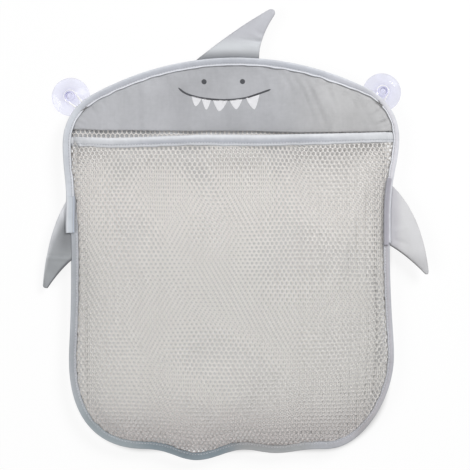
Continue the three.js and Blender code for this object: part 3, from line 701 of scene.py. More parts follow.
net_yarn = yarn_finish(
    "net_yarn",
    linear(243, 240, 237),
    amount=0.05,
    turns=NET_TURNS,
    passes=linear(227, 225, 223),
    # Painted shade: greyer towards the bottom
    tones=[(linear(236, 234, 231), "Z", -110.0, -200.0), (linear(220, 215, 214), "Z", -300.0, -365.0)],
)
thread_white = yarn_finish("sewing_thread", linear(226, 227, 230), amount=0.1, turns=SEWING_TURNS)
# Dark thread for the bar tacks: its darkness is partly painted shade between their puckers
tack_shade_thread = yarn_finish("dark_thread", linear(118, 116, 114), amount=0.15, turns=SEWING_TURNS)
# Grey thread for the head's seam: its grey is partly painted shade under the head's edge
seam_shade_thread = yarn_finish("grey_thread", linear(168, 168, 170), amount=0.1, turns=SEWING_TURNS)
elastic_white = yarn_finish("braided_elastic", linear(252, 252, 251), amount=0.03, turns=ELASTIC_TURNS)
ink_dark = yarn_finish("dark_print", linear(84, 85, 89), amount=0.15, turns=SEWING_TURNS)
ink_white = yarn_finish("white_print", linear(238, 238, 241), amount=0.06, turns=SEWING_TURNS)
print("made", len(bpy.data.materials), "materials so far")

# %% [markdown]
# The suction cups are clear soft vinyl with a faint violet cast, deeper where they are thick or seen
# at a slant. Absorption inside the body could give that, but it is lost on a thin rim. So the tint
# follows the height above the wall and the slant, and for shadow rays the vinyl turns into a tinted
# filter. The deeper violet towards the neck and knob is partly their real thickness and partly
# painted shade, where the knob and the loop shade the dome. The stiffener in the head is a matt sheet
# that no view shows, and it keeps its CAD solid.

# %% Vinyl and plastic finishes
THIN_VINYL_Y, THICK_VINYL_Y = -2.5, -8.5
VINYL_GLOSS = 0.05
VINYL_HAZE = 0.12
clear_vinyl, tree, shader = finish_named(
    "clear_vinyl", IOR=1.4, Transmission_Weight=1.0, Specular_IOR_Level=0.05
)
spot = node(tree, "TexCoord").outputs["Object"]
slanting = node(tree, "LayerWeight", Blend=0.35).outputs["Facing"]
# Deeper towards the knob: thicker vinyl, and painted shade of the knob and the loop
thickness = level_mask(tree, spot, "Y", THIN_VINYL_Y, THICK_VINYL_Y)
tint = blend_colours(tree, thickness, linear(228, 229, 238), linear(203, 203, 227))
tint = blend_colours(tree, slanting, tint, linear(172, 168, 204))
put(tree, shader.inputs["Base Color"], tint)
haze = node(tree, "TexNoise", Vector=spot, Scale=90.0, Detail=4.0).outputs["Fac"]
hazy = calc(tree, "ADD", calc(tree, "MULTIPLY", haze, VINYL_HAZE), VINYL_GLOSS)
put(tree, shader.inputs["Roughness"], hazy)
bump(tree, shader, haze, 0.15)
let_light_pass(tree, shader, linear(230, 228, 245))

stiff_sheet, tree, shader = finish_named("stiff_sheet", Roughness=0.6)
spot = node(tree, "TexCoord").outputs["Object"]
sheet_tone = use_group(tree, handled, Place=spot, Color=linear(220, 220, 216))["Color"]
put(tree, shader.inputs["Base Color"], sheet_tone)
NODES["head_stiffener"].data.materials.clear()
NODES["head_stiffener"].data.materials.append(stiff_sheet)
print("made", clear_vinyl.name, stiff_sheet.name)

# %% [markdown]
# All the panels share one cut edge. It could be drawn again here, but the solids already hold it:
# the head's cloth has the upper part and the back net the lower part. The corners of their rims, put
# in order round the middle and joined by a smooth curve, give the edge back.

# %% Find the cut edge in the solids
def node_points(name):
    """A CAD node's corners, in millimetres."""
    vertices = NODES[name].data.vertices
    flat = np.empty(3 * len(vertices))
    vertices.foreach_get("co", flat)
    return flat.reshape(-1, 3) / MM


def panel_rim(name):
    """A flat panel's outline: the widest ring of edges that only one of its front faces has."""
    mesh = NODES[name].data
    place = [tuple(p) for p in node_points(name)[:, [0, 2]].round(2).tolist()]
    edges = set()
    for face in mesh.polygons:
        if face.normal.y < -0.9:
            corners = [place[k] for k in face.vertices]
            edges.update(zip(corners, corners[1:] + corners[:1]))
    following = {a: b for a, b in edges if (b, a) not in edges}
    rings = []
    while following:
        ring = [next(iter(following))]
        while ring[-1] in following:
            ring.append(following.pop(ring[-1]))
        rings.append(np.array(ring[:-1]))
    return max(rings, key=lambda ring: np.ptp(ring[:, 0]))


def panel_corners():
    """The corners of the whole cut edge, in order round its middle from the bottom."""
    head, net = panel_rim("head_front_cloth"), panel_rim("back_net")
    split = (head[:, 1].min() + net[:, 1].max()) / 2
    corners = np.vstack([head[head[:, 1] > split], net[net[:, 1] < split]])
    away = corners - (corners.min(0) + corners.max(0)) / 2
    return corners[np.argsort(np.arctan2(away[:, 0], away[:, 1]))]


def smooth_loop(points, step):
    """A closed curve through the points, in even steps."""
    a, b, c, d = (np.roll(points, shift, 0)[:, None] for shift in (1, 0, -1, -2))
    curve = spline(a, b, c, d, 12)
    line = np.vstack([curve.reshape(-1, 2), curve[0, :1]])
    return set_out(line, round(run_along(line)[-1] / step) + 1)[:-1]


EDGE_SPACING = 1.5
SIDE_START = 80.0
EDGE = smooth_loop(panel_corners(), EDGE_SPACING)
EDGE_STEP = np.linalg.norm(np.roll(EDGE, -1, 0) - EDGE, axis=1)
EDGE_RUN = np.concatenate([[0], np.cumsum(EDGE_STEP)[:-1]])
EDGE_LENGTH = EDGE_STEP.sum()
EDGE_WAY = np.roll(EDGE, -1, 0) - np.roll(EDGE, 1, 0)
EDGE_WAY /= np.linalg.norm(EDGE_WAY, axis=1)[:, None]
INWARD = np.stack([EDGE_WAY[:, 1], -EDGE_WAY[:, 0]], -1)


def edge_at(run):
    """Places on the cut edge, and the directions into the panel, at lengths along it."""
    columns = [np.interp(run, EDGE_RUN, c, period=EDGE_LENGTH) for c in (*EDGE.T, *INWARD.T)]
    return np.stack(columns[:2], -1), np.stack(columns[2:], -1)


def edge_run(side, z):
    """The length along the edge at which one side, -1 left or 1 right, passes a height."""
    on_side = EDGE[:, 0] * side > SIDE_START
    return EDGE_RUN[on_side][np.argmin(np.abs(EDGE[on_side, 1] - z))]


print("cut edge", round(EDGE_LENGTH), "mm round, from", len(panel_corners()), "corners of the solids")

# %% [markdown]
# The head's cloth is pulled over its stiffener and sewn in at the arch. It is nearly flat, but it
# puckers where the tape gathers it, and the weight of the pocket draws soft upright waves in it. Cloth
# this tight hardly moves in a simulation, so the relief is a formula. The grid's columns run from the
# lower edge up to the arch, so the folds are real geometry.

# %% Head: relief of the front cloth
HEAD_CLOTH_DEPTH = 1.5
CLOTH = 0.6
SEAM_Z = node_points("head_front_cloth")[:, 2].min()
SEAM_X = [-165.0, -136.0, -84.0, -53.0, 20.0, 72.0, 134.0, 165.0]
SEAM_SAG = [1.2, 0.2, -0.2, -0.8, -0.8, -2.4, -1.6, -0.8]
PUCKER = 0.5
UPRIGHT_WAVE = 0.6
BROAD_WAVE = 0.3
FINE_WAVE = 0.22
DRAWN_FOLD = 0.9
STAND_OFF = 0.35
EDGE_ROLL = 0.35
BATCH = 4000


def seam_z(x):
    """The lower edge of the head: nearly straight, a little lower right of the middle."""
    return SEAM_Z + np.interp(x, SEAM_X, SEAM_SAG)


def edge_distance(x, z):
    """How far a place in the panel is from the cut edge, and the edge length of the nearest place."""
    flat = np.stack([np.ravel(x), np.ravel(z)], -1)
    far = np.empty(len(flat))
    run = np.empty(len(flat))
    for start in range(0, len(flat), BATCH):
        part = slice(start, start + BATCH)
        gap = np.linalg.norm(flat[part, None] - EDGE[None], axis=2)
        nearest = gap.argmin(1)
        far[part] = gap[np.arange(len(gap)), nearest]
        run[part] = EDGE_RUN[nearest]
    return far.reshape(np.shape(x)), run.reshape(np.shape(x))


def tape_puckers(x, far, run):
    """Small gathers just inside the tape, twice as high on the right."""
    gather = np.exp(-((np.maximum(far - 8, 0) / 9) ** 2)) * smoothstep((far - 5.5) / 3)
    height = PUCKER + PUCKER * smoothstep((x - 20) / 60)
    return height * gather * (0.6 + ripple(run, 0 * run, 9.0, 5))


def cloth_waves(x, z, far):
    """Waves all over, finer ones on the left and folds drawn in from the tape on the right."""
    broad = UPRIGHT_WAVE * ripple(x, 0.2 * z, 30.0, 11) + BROAD_WAVE * ripple(x, z, 60.0, 12)
    fine = FINE_WAVE * ripple(x, 0.1 * z, 11.0, 13) * smoothstep(0.4 - x / 120)
    drawn = np.exp(-np.maximum(far - 10, 0) / 24) * smoothstep((x - 15) / 40)
    return broad + fine + DRAWN_FOLD * drawn * ripple(x + 0.4 * z, 0.15 * z, 12.0, 15)


def head_relief(x, z):
    """How far the front cloth stands off its flat place; its lower edge rolls back a little."""
    far, run = edge_distance(x, z)
    free = smoothstep((far - 7) / 14)
    relief = tape_puckers(x, far, run) + free * (STAND_OFF + cloth_waves(x, z, far))
    return np.maximum(relief, -0.1) - EDGE_ROLL * smoothstep(1 - (z - seam_z(x)) / 1.6)


print("the head's seam lies at", SEAM_Z.round(1), "mm")

# %% [markdown]
# With the relief known, each cloth is one thin closed slab. The front cloth ends at the seam; the
# lining is cut longer and its allowance hangs below, where it shows above the hem.

# %% Head: front cloth and lining
LINING_DROP = 11.5
HEAD_INSET = 0.3
HEAD_COLUMNS = 260
HEAD_ROWS = 64
upper = EDGE[EDGE[:, 1] > SEAM_Z - 1]
upper = upper[np.argsort(upper[:, 0])]
HEAD_LEFT, HEAD_RIGHT = upper[0, 0] + HEAD_INSET, upper[-1, 0] - HEAD_INSET
half_turn = np.linspace(0, math.pi, HEAD_COLUMNS)
head_x = HEAD_LEFT + (HEAD_RIGHT - HEAD_LEFT) * (1 - np.cos(half_turn)) / 2
head_top = np.interp(head_x, upper[:, 0], upper[:, 1])
head_share = np.linspace(0, 1, HEAD_ROWS)[:, None]
grid_x = np.broadcast_to(head_x, (HEAD_ROWS, HEAD_COLUMNS))


def head_panel(name, foot, depth_at):
    """One cloth of the head, from its lower edge up to the arch."""
    z = foot + (np.maximum(head_top, foot + 0.5) - foot) * head_share
    depth = depth_at(z)
    front, back = (np.stack([grid_x, BAG_Y - depth - side * CLOTH / 2, z], -1) for side in (1, -1))
    return mesh_piece(name, *slab(front, back))


def face_depth(z):
    """The front cloth lies on the stiffener with its relief."""
    return HEAD_CLOTH_DEPTH + head_relief(grid_x, z)


def lining_depth(z):
    """The lining's waves only stand out behind."""
    return -HEAD_CLOTH_DEPTH - 0.3 * (1 + ripple(grid_x, 0.3 * z, 38.0, 14)) * smoothstep(head_share * 6)


head_front = head_panel("head_front", seam_z(head_x), face_depth)
hang(head_front, "bag", "cloth", head_cloth, "head_front_cloth")
head_back = head_panel("head_lining", seam_z(head_x) - LINING_DROP, lining_depth)
hang(head_back, "bag", "lining", lining_cloth, "head_back_cloth")

# %% [markdown]
# The face is printed on the cloth: two eyes, one smiling line and five teeth. A mask in the cloth's
# material could draw it, but its edge would be soft and lost in other programs. So each print is a
# thin film of its own that follows the cloth's relief and bends with the waves under it. The smile
# is a curve of even width with rounded ends.

# %% Face: the smile
FILM = 0.14


def film(name, x, z, material):
    """A thin printed film over the front cloth, from a grid of places."""
    depth = HEAD_CLOTH_DEPTH + CLOTH / 2 + head_relief(x, z)
    front = np.stack([x, BAG_Y - depth - FILM, z], -1)
    back = np.stack([x, BAG_Y - depth + FILM, z], -1)
    return hang(mesh_piece(name, *slab(front, back)), "bag", "cloth", material)


SMILE_LEFT = [(-54.6, 6.2), (-49, 1.6), (-41.6, -1.7), (-28.1, -4.7)]
SMILE_RIGHT = [(-5.2, -6.4), (13.5, -4.5), (28.6, 0.1), (41.4, 4.6)]
SMILE_WIDTH = 1.9
SMILE_STEPS = 150
smile = curve_through(SMILE_LEFT + SMILE_RIGHT, SMILE_STEPS)
smile_way = np.gradient(smile, axis=0)
smile_way /= np.linalg.norm(smile_way, axis=1)[:, None]
steps = np.arange(SMILE_STEPS)
from_end = np.minimum(steps, steps[::-1]) / (SMILE_STEPS - 1)
half_width = SMILE_WIDTH / 2 * np.sqrt(np.clip(from_end / 0.03, 0.02, 1))
spread = np.linspace(-1, 1, 5)[:, None] * half_width
smile_x = smile[:, 0] - spread * smile_way[:, 1]
smile_z = smile[:, 1] + spread * smile_way[:, 0]
film("face_smile", smile_x, smile_z, ink_dark)

# %% [markdown]
# The teeth hang from the smile. Each is a grid whose top row lies on the line and whose other rows
# close in towards a blunt tip. The eyes are discs, made from a square grid that is rounded, because
# such a grid has no crowded point in its middle.

# %% Face: teeth and eyes
# Each tooth's left end and right end on the smile, and the place of its tip
TEETH = [
    (-41.0, -30.6, -36.8, -12.9),
    (-30.4, -20.9, -25.6, -16.4),
    (-18.8, -3.6, -12.4, -18.0),
    (-1.4, 12.0, 5.4, -16.0),
    (15.6, 29.6, 24.4, -16.0),
]
down = np.linspace(0, 1, 22)[:, None]
over = np.linspace(0, 1, 15)[None]
for number, (left, right, tip_x, tip_z) in enumerate(TEETH, 1):
    top_x = left + (right - left) * over
    top_z = np.interp(top_x, smile[:, 0], smile[:, 1]) - 0.3
    narrow = np.sqrt(np.clip(1 - down**2.6, 0, 1)) * (1 - 0.55 * down)
    tooth_x = tip_x + (top_x - tip_x) * (narrow + 0.02)
    tooth_z = top_z + (tip_z - top_z) * down
    film(f"face_tooth_{number}", tooth_x, tooth_z, ink_white)

EYES = {"left": (-27.9, 12.5), "right": (12.0, 12.8)}
EYE_RADIUS = 2.65
square_x, square_z = np.meshgrid(np.linspace(-1, 1, 15), np.linspace(-1, 1, 15))
disc_x = square_x * np.sqrt(1 - square_z**2 / 2)
disc_z = square_z * np.sqrt(1 - square_x**2 / 2)
for name, (x, z) in EYES.items():
    film(f"face_{name}_eye", x + EYE_RADIUS * disc_x, z + EYE_RADIUS * disc_z, ink_dark)

# %% [markdown]
# The front net is free between the hem and the edge tapes. Its outline is the cut edge, moved inwards
# by the width of a tape. How far it reaches at each height and each place across could be measured on
# the mesh, but a net has no clear rim, so level lines are crossed with the outline.

# %% Outline of the free net
HEM_DROP = 43.4
HEM_TILT = 2.4
HEM_SAG = 1.2
HEM_X = [-160.0, -125.0, -84.0, -32.0, 0.0, 25.0, 72.0, 134.0, 160.0]
HEM_DROOP = [0.0, -2.0, -1.5, 0.0, -0.3, -1.1, -0.8, -0.3, 0.4]
HEM_CORNER = 158.0
NET_TOP_LEVEL = -30.0
SHOULDER_HALF = 173.0
FREE_INSET = 8.3
FREE_MARGIN = 1.3


def hem_top(x):
    """The height of the hem's fold; the cloth hangs a little unevenly along it."""
    share = x / SHOULDER_HALF
    droop = np.interp(x, HEM_X, HEM_DROOP)
    return -HEM_DROP + HEM_TILT * share - HEM_SAG * (1 - share**2) + droop


def hem_foot(x):
    """The height at which the hem lets the net go free."""
    return hem_top(x) - HEM_LEAF - FREE_MARGIN


free_edge = EDGE + FREE_INSET * INWARD
free_next = np.roll(free_edge, -1, 0)


def crossings(value, along, across, pick):
    """Where a level line meets the free net's outline: the least or greatest place on it."""
    start, end = free_edge[:, along] - value, free_next[:, along] - value
    hit = start * end <= 0
    share = start[hit] / np.where(start[hit] == end[hit], 1, start[hit] - end[hit])
    return pick(free_edge[hit, across] + share * (free_next[hit, across] - free_edge[hit, across]))


levels = np.linspace(free_edge[:, 1].min() + 0.01, NET_TOP_LEVEL, 500)
LEFT_LIMIT = np.array([crossings(z, 1, 0, np.min) for z in levels])
RIGHT_LIMIT = np.array([crossings(z, 1, 0, np.max) for z in levels])
stations = np.linspace(free_edge[:, 0].min() + 0.01, free_edge[:, 0].max() - 0.01, 500)
FOOT = np.array([crossings(x, 0, 1, np.min) for x in stations])
FIELD_LEFT = np.interp(hem_foot(-HEM_CORNER), levels, LEFT_LIMIT)
FIELD_RIGHT = np.interp(hem_foot(HEM_CORNER), levels, RIGHT_LIMIT)
print("free net from", FIELD_LEFT.round(1), "to", FIELD_RIGHT.round(1), "mm")

# %% [markdown]
# The front net bellies out. Cloth simulation could fill it, but it would end a little different from
# the solid. So its depth at each place comes from three curves that shape the CAD solid too: how far
# the hem is bowed, how deep the belly is above the bottom, and how steeply the net leaves the tapes.
# Two soft folds, which the belly's weight draws from the ends of the hem, are added to them.

# %% Depth of the pocket
MOUTH_DEPTH = 26.0
BELLY_DEPTH = 50.0
BELLY_HEIGHT = 85.0
NET_DEPTH = 0.55
# Each fold's start and end, its height and its half width
FOLDS = [
    ((-134.0, -72.0), (-62.0, -240.0), 2.6, 13.0),
    ((146.0, -62.0), (98.0, -222.0), 3.4, 9.0),
]


def bulge(share):
    """1 in the middle, falling steeply to 0 at -1 and 1."""
    return np.maximum(0, 1 - share**2) ** 0.6


def tension_folds(x, z):
    """Soft ridges that the weight of the belly draws from the hem's two ends."""
    lift = 0 * x
    for (start_x, start_z), (end_x, end_z), height, width in FOLDS:
        way = np.array([end_x - start_x, end_z - start_z])
        length = np.linalg.norm(way)
        way = way / length
        share = ((x - start_x) * way[0] + (z - start_z) * way[1]) / length
        off = (x - start_x) * way[1] - (z - start_z) * way[0]
        fade = smoothstep(share / 0.25) * smoothstep((1 - share) / 0.35)
        lift = lift + height * np.exp(-((off / width) ** 2)) * fade
    return lift


def pocket_depth(x, z):
    """How far the front net stands off the flat panel at a place."""
    bow = MOUTH_DEPTH * bulge((2 * x - FIELD_LEFT - FIELD_RIGHT) / (FIELD_RIGHT - FIELD_LEFT))
    top = hem_foot(x)
    foot = np.interp(x, stations, FOOT)
    above = z - foot
    level = np.minimum(z, hem_foot(-HEM_CORNER))
    left, right = np.interp(level, levels, LEFT_LIMIT), np.interp(level, levels, RIGHT_LIMIT)
    rising = smoothstep((above - BELLY_HEIGHT) / np.maximum(top - foot - BELLY_HEIGHT, 1))
    low = BELLY_DEPTH * bulge(1 - above / BELLY_HEIGHT)
    high = BELLY_DEPTH + (MOUTH_DEPTH - BELLY_DEPTH) * rising
    field = np.where(above < BELLY_HEIGHT, low, high) * bulge((2 * x - left - right) / (right - left))
    field = field + tension_folds(x, z)
    inside = (x > FIELD_LEFT) & (x < FIELD_RIGHT) & (above > 0)
    return np.where(inside, np.where(z >= top, bow, field), 0)


print("the belly is", BELLY_DEPTH, "mm deep and the mouth", MOUTH_DEPTH, "mm")

# %% [markdown]
# Warp-knitted net has hexagon cells: thick upright strands where two yarns run side by side, and
# thinner slanting ones where they cross over. A see-through pattern on a plain sheet would be lighter,
# but it would have no thickness at a slant. So each cell is a ring of eight faces between its own
# outline and a rounded hole. Outline points are shared by neighbours and stand proud of the hole's
# edge on both sides, so every strand has a round back.

# %% Knit a net
NET_PITCH = 4.77
NET_ROW = NET_PITCH * math.sqrt(0.75)
CELL = NET_PITCH / math.sqrt(3)
OUTLINE = np.array(
    [(0, 1), (0.5, 0.5), (0.5, 0), (0.5, -0.5), (0, -1), (-0.5, -0.5), (-0.5, 0), (-0.5, 0.5)]
) * (NET_PITCH, CELL)
HOLE = np.array(
    [(0, 2.2), (1.42, 1.2), (1.6, 0), (1.42, -1.2), (0, -2.2), (-1.42, -1.2), (-1.6, 0), (-1.42, 1.2)]
)
STRAND = 0.36
NET_COLUMNS = np.arange(-38, 39)
NET_ROWS = np.arange(0, 90)
SLOPE_STEP = 0.2
STEEPEST = 3.0


def facing(x, z, depth_at):
    """Which way a net faces at each place, from its depth a little to every side."""
    across = (depth_at(x + SLOPE_STEP, z) - depth_at(x - SLOPE_STEP, z)) / (2 * SLOPE_STEP)
    upward = (depth_at(x, z + SLOPE_STEP) - depth_at(x, z - SLOPE_STEP)) / (2 * SLOPE_STEP)
    across, upward = np.clip([across, upward], -STEEPEST, STEEPEST)
    normal = np.stack([across, np.full_like(x, -1.0), upward], -1)
    return normal / np.linalg.norm(normal, axis=1)[:, None]


def open_border(edges):
    """The edges that only one face uses, in the order in which it goes round."""
    _, which, uses = np.unique(np.sort(edges, 1), axis=0, return_inverse=True, return_counts=True)
    return edges[uses[which.ravel()] == 1]


def knit(keep, shift, depth_at, top):
    """A net over the places that keep allows, moved in its plane by shift and lifted by depth_at."""
    centre_x = (NET_COLUMNS[None] + (NET_ROWS[:, None] % 2) / 2) * NET_PITCH
    centre_z = top - NET_ROWS[:, None] * NET_ROW + 0 * centre_x
    centres = np.stack([centre_x, centre_z], -1).reshape(-1, 2)
    centres = centres[keep(*(centres + shift(*centres.T)).T)]
    outer = (centres[:, None] + OUTLINE).reshape(-1, 2)
    shared, which = np.unique(outer.round(2), axis=0, return_inverse=True)
    which = which.reshape(-1, 8)
    flat = np.vstack([shared, (centres[:, None] + HOLE).reshape(-1, 2)])
    flat = flat + shift(*flat.T)
    x, z = flat.T
    middle = np.stack([x, BAG_Y - depth_at(x, z), z], -1)
    count = len(shared)
    rise = STRAND / 2 * facing(x, z, depth_at)[:count]
    points = np.vstack([middle[:count] + rise, middle[:count] - rise, middle[count:]])
    hole = 2 * count + np.arange(len(centres) * 8).reshape(-1, 8)
    after, hole_after = np.roll(which, -1, 1), np.roll(hole, -1, 1)
    front = np.stack([which, after, hole_after, hole], -1).reshape(-1, 4)
    back = np.stack([after + count, which + count, hole, hole_after], -1).reshape(-1, 4)
    first, last = open_border(np.stack([which, after], -1).reshape(-1, 2)).T
    walls = np.column_stack([last, first, first + count, last + count])
    return points, np.vstack([front, back, walls])


def strand_area(points, faces):
    """Half of a net's whole surface, in square metres."""
    a, b, c, d = (points[faces[:, k]] for k in range(4))
    return np.linalg.norm(np.cross(c - a, d - b), axis=1).sum() / 4 * MM**2


print("one cell is", round(NET_PITCH, 2), "by", round(2 * CELL, 2), "mm")

# %% [markdown]
# The two panels are cut from the same net but never lie quite the same way, and that is what makes
# the slow bands in the pocket. The back panel is flat and tucked up into the head. The front panel
# is gathered a little, lies half a row lower and follows the belly. Both could be one mesh copied and
# bent, but then their cells would line up, so each is knitted with its own small wandering.

# %% Back net and front net
NET_TUCK = -31.0
FRONT_TOP = -34.0
NET_MARGIN = 3.0
UNDER_HEM = 2.5
GATHER = 0.016


def inside_edge(x, z, margin):
    """True where a place is inside the cut edge by a margin."""
    border = EDGE + margin * INWARD
    following = np.roll(border, -1, 0)
    inside = np.zeros(len(x), bool)
    for (ax, az), (bx, bz) in zip(border, following):
        if az == bz:
            continue
        hit = (az > z) != (bz > z)
        inside ^= hit & (x < ax + (z - az) * (bx - ax) / (bz - az))
    return inside


def back_keeps(x, z):
    """True where the back panel has net."""
    return inside_edge(x, z, NET_MARGIN) & (z < NET_TUCK)


def back_shift(x, z):
    """How the back panel's cells wander."""
    return np.stack([0.8 * ripple(x, z, 170.0, 21), 0.8 * ripple(x, z, 190.0, 22)], -1)


def back_depth(x, z):
    """The back panel hangs flat, just behind the bag's middle."""
    return 0 * x - NET_DEPTH


def front_keeps(x, z):
    """True where the front panel has net, up into the fold of its hem."""
    return inside_edge(x, z, NET_MARGIN) & (z < hem_top(x) - UNDER_HEM)


def front_shift(x, z):
    """How the front panel's cells are gathered and wander."""
    gathered_x = -GATHER * x + 1.3 * ripple(x, z, 150.0, 23)
    gathered_z = NET_ROW / 2 - GATHER * (z + 150) + 0.8 * ripple(x, z, 130.0, 24)
    return np.stack([gathered_x, gathered_z], -1)


def front_depth(x, z):
    """The front panel follows the pocket's belly."""
    return NET_DEPTH + pocket_depth(x, z)


back_points, back_faces = knit(back_keeps, back_shift, back_depth, NET_TUCK)
front_points, front_faces = knit(front_keeps, front_shift, front_depth, FRONT_TOP)
back_net = mesh_piece("pocket_back_net", back_points, back_faces)
hang(back_net, "bag", "net", net_yarn, "back_net")
front_net = mesh_piece("pocket_front_net", front_points, front_faces)
hang(front_net, "bag", "net", net_yarn, "front_net")

# %% [markdown]
# A tape is a ribbon folded in two round the edge and sewn through both leaves. Its section is drawn
# once, from the inner edge of the front leaf, round the fold, to the inner edge of the back leaf: it
# swells between the fold and the seam, dips at the stitches and ends in a small lip. Along the edge
# the seam gathers the ribbon a little, so the dip wavers. A bevelled curve could carry a section too,
# but it would grow thicker where it grows wider, and it keeps no rows for the stitches.

# %% Tape section and sweep
SEAM_AT = 0.74
LIP_AT = 0.9
CROWN_RISE = 0.4
SEAM_DIP = 0.3
LIP_RISE = 0.32
WAVER = 0.12
TAPE = 0.7
FOLD = 1.0
FOLD_GAP = 0.3
FULL_HALF = FOLD + TAPE
LEAF_POINTS = 15
TAPE_STEP = 1.4
FORWARD = np.array([0.0, -1.0, 0.0])


def tape_section(leaf):
    """Distances from the fold and half thicknesses, for the outer and the inner skin of a tape."""
    flat = np.linspace(leaf, FOLD, LEAF_POINTS)
    turn = np.linspace(math.pi / 2, -math.pi / 2, 9)[1:-1]
    front = np.full(LEAF_POINTS, FULL_HALF)
    inset = np.concatenate([flat, FOLD * (1 - np.cos(turn)), flat[::-1]])
    outer = np.concatenate([front, FULL_HALF * np.sin(turn), -front])
    inner_flat = np.maximum(flat, TAPE + FOLD_GAP)
    inner_turn = TAPE + FOLD_GAP - FOLD_GAP * np.cos(turn)
    inner_inset = np.concatenate([inner_flat, inner_turn, inner_flat[::-1]])
    inner = np.sign(outer) * np.maximum(np.abs(outer) - TAPE, 0)
    return inset, outer, inner_inset, inner


def swell(share, wander):
    """What stands on the flat leaf: a soft crown, the dip at the seam and the lip at the edge."""
    crown = CROWN_RISE * np.sin(math.pi * np.clip(share / SEAM_AT, 0, 1)) ** 0.8
    dip = -(SEAM_DIP + WAVER * wander) * np.exp(-(((share - SEAM_AT) / 0.07) ** 2))
    lip = (LIP_RISE + WAVER * wander) * np.exp(-(((share - LIP_AT) / 0.08) ** 2))
    return crown * (1 + 0.35 * wander) + dip + lip


def sweep_tape(name, origin, inward, forward, run, leaf, half, seed, narrow=1.0):
    """A folded tape along a line of places; its half thickness and its width may change along it."""
    rows = len(origin)
    half = np.broadcast_to(np.asarray(half, float), rows)[:, None]
    narrow = np.broadcast_to(np.asarray(narrow, float), rows)[:, None]
    wander = ripple(run, 0 * run, 7.0, seed)[:, None]
    inset, outer, inner_inset, inner = tape_section(leaf)
    face = np.sign(outer)
    on_leaf = np.abs(outer) >= FULL_HALF
    lift = swell(inset / leaf, wander) * face * (np.abs(outer) > TAPE)
    thin = (half - TAPE) * face * on_leaf
    depth_out = np.where(on_leaf, thin + TAPE * face, outer * half / FULL_HALF) + lift
    depth_in = np.where(np.abs(inner) >= FOLD, thin, inner * np.maximum(half - TAPE, 0))
    edge_wave = 0.25 * ripple(run, 0 * run, 16.0, seed + 1)[:, None] * (inset / leaf) ** 4

    def skin(inset_row, depth):
        place = origin[:, None] + inward[:, None] * inset_row[..., None]
        return place + forward[:, None] * depth[..., None]

    outside = skin(inset * narrow + edge_wave, depth_out)
    inside = skin(inner_inset * narrow + edge_wave, depth_in)
    across = np.where(outer >= 0, inset, -inset)
    uv = np.stack(np.broadcast_arrays(run[:, None], across[None]), -1).reshape(-1, 2)
    points, faces = slab(outside, inside)
    return mesh_piece(name, points, faces, np.vstack([uv, uv])), outside, inset


print("the seam runs at", SEAM_AT, "of a leaf's width")

# %% [markdown]
# The head tape runs over the arch and ends in a straight cut on each side. Its left end has come
# away from the edge a little and stands out. The pocket tape starts inside it and runs round below.
# Along the right side both are sewn narrower, so their width changes along the way.

# %% Edge tapes
HEAD_HALF = 2.95
POCKET_HALF = 1.95
HEAD_PROUD = 2.0
POCKET_PROUD = 1.0
HEAD_TAPE_LEFT_END = -144.0
HEAD_TAPE_RIGHT_END = -156.0
POCKET_TAPE_LEFT_END = -100.0
POCKET_TAPE_RIGHT_END = -90.0
FLARE = 4.0
FLARE_RUN = 55.0
RIGHT_LEAF = 6.4


def head_proud(place):
    """How far the head tape's fold stands outside the cut edge; its left end flares."""
    share = smoothstep((HEAD_TAPE_LEFT_END + FLARE_RUN - place[:, 1]) / FLARE_RUN)
    return HEAD_PROUD + np.where(place[:, 0] < 0, FLARE * share, 0)


def pocket_proud(place):
    """How far the pocket tape's fold stands outside the cut edge."""
    return np.full(len(place), POCKET_PROUD)


def upright(flat, depth=0.0):
    """Places in the panel's plane as points in space, at a depth in front of the bag's middle."""
    x, z = np.moveaxis(np.asarray(flat), -1, 0)
    return np.stack([x, np.broadcast_to(BAG_Y - depth, x.shape), z], -1)


def right_side(place):
    """0 in the middle and on the left, 1 along the right side."""
    return smoothstep((place[:, 0] - 110) / 50)


def edge_tape(name, start, end, leaf, half, proud_at, seed):
    """A tape over the cut edge, from one length along it to another."""
    run = np.arange(start, end, TAPE_STEP)
    place, inward = edge_at(run)
    origin = upright(place - inward * proud_at(place)[:, None])
    direction = np.stack([inward[:, 0], 0 * run, inward[:, 1]], -1)
    forward = np.broadcast_to(FORWARD, origin.shape)
    narrow = 1 + (RIGHT_LEAF / leaf - 1) * right_side(place)
    return sweep_tape(name, origin, direction, forward, run, leaf, half, seed, narrow)


head_run = (edge_run(-1, HEAD_TAPE_LEFT_END), edge_run(1, HEAD_TAPE_RIGHT_END))
pocket_run = (edge_run(1, POCKET_TAPE_RIGHT_END), edge_run(-1, POCKET_TAPE_LEFT_END) + EDGE_LENGTH)
head_binding, head_skin, head_inset = edge_tape(
    "head_binding", *head_run, HEAD_LEAF, HEAD_HALF, head_proud, 31
)
pocket_binding, pocket_skin, pocket_inset = edge_tape(
    "pocket_binding", *pocket_run, POCKET_LEAF, POCKET_HALF, pocket_proud, 33
)
hang(head_binding, "bag", "tape", head_tape, "head_edge_tape")
hang(pocket_binding, "bag", "tape", pocket_tape, "pocket_edge_tape")

# %% [markdown]
# Where two tapes meet, an end is turned back and sewn down flat over the other one. On the left it
# is the head tape's own end; on the right the pocket tape's end lies over the head tape. Each is a
# short strip on the front leaf, so it is a thin slab that follows the edge.

# %% Turned tape ends
TURNED = 0.6
TURNED_LIFT = 0.95
LEFT_TURN_TOP = -107.0
RIGHT_TURN_TOP = -88.0
RIGHT_TURN_BOTTOM = -157.5


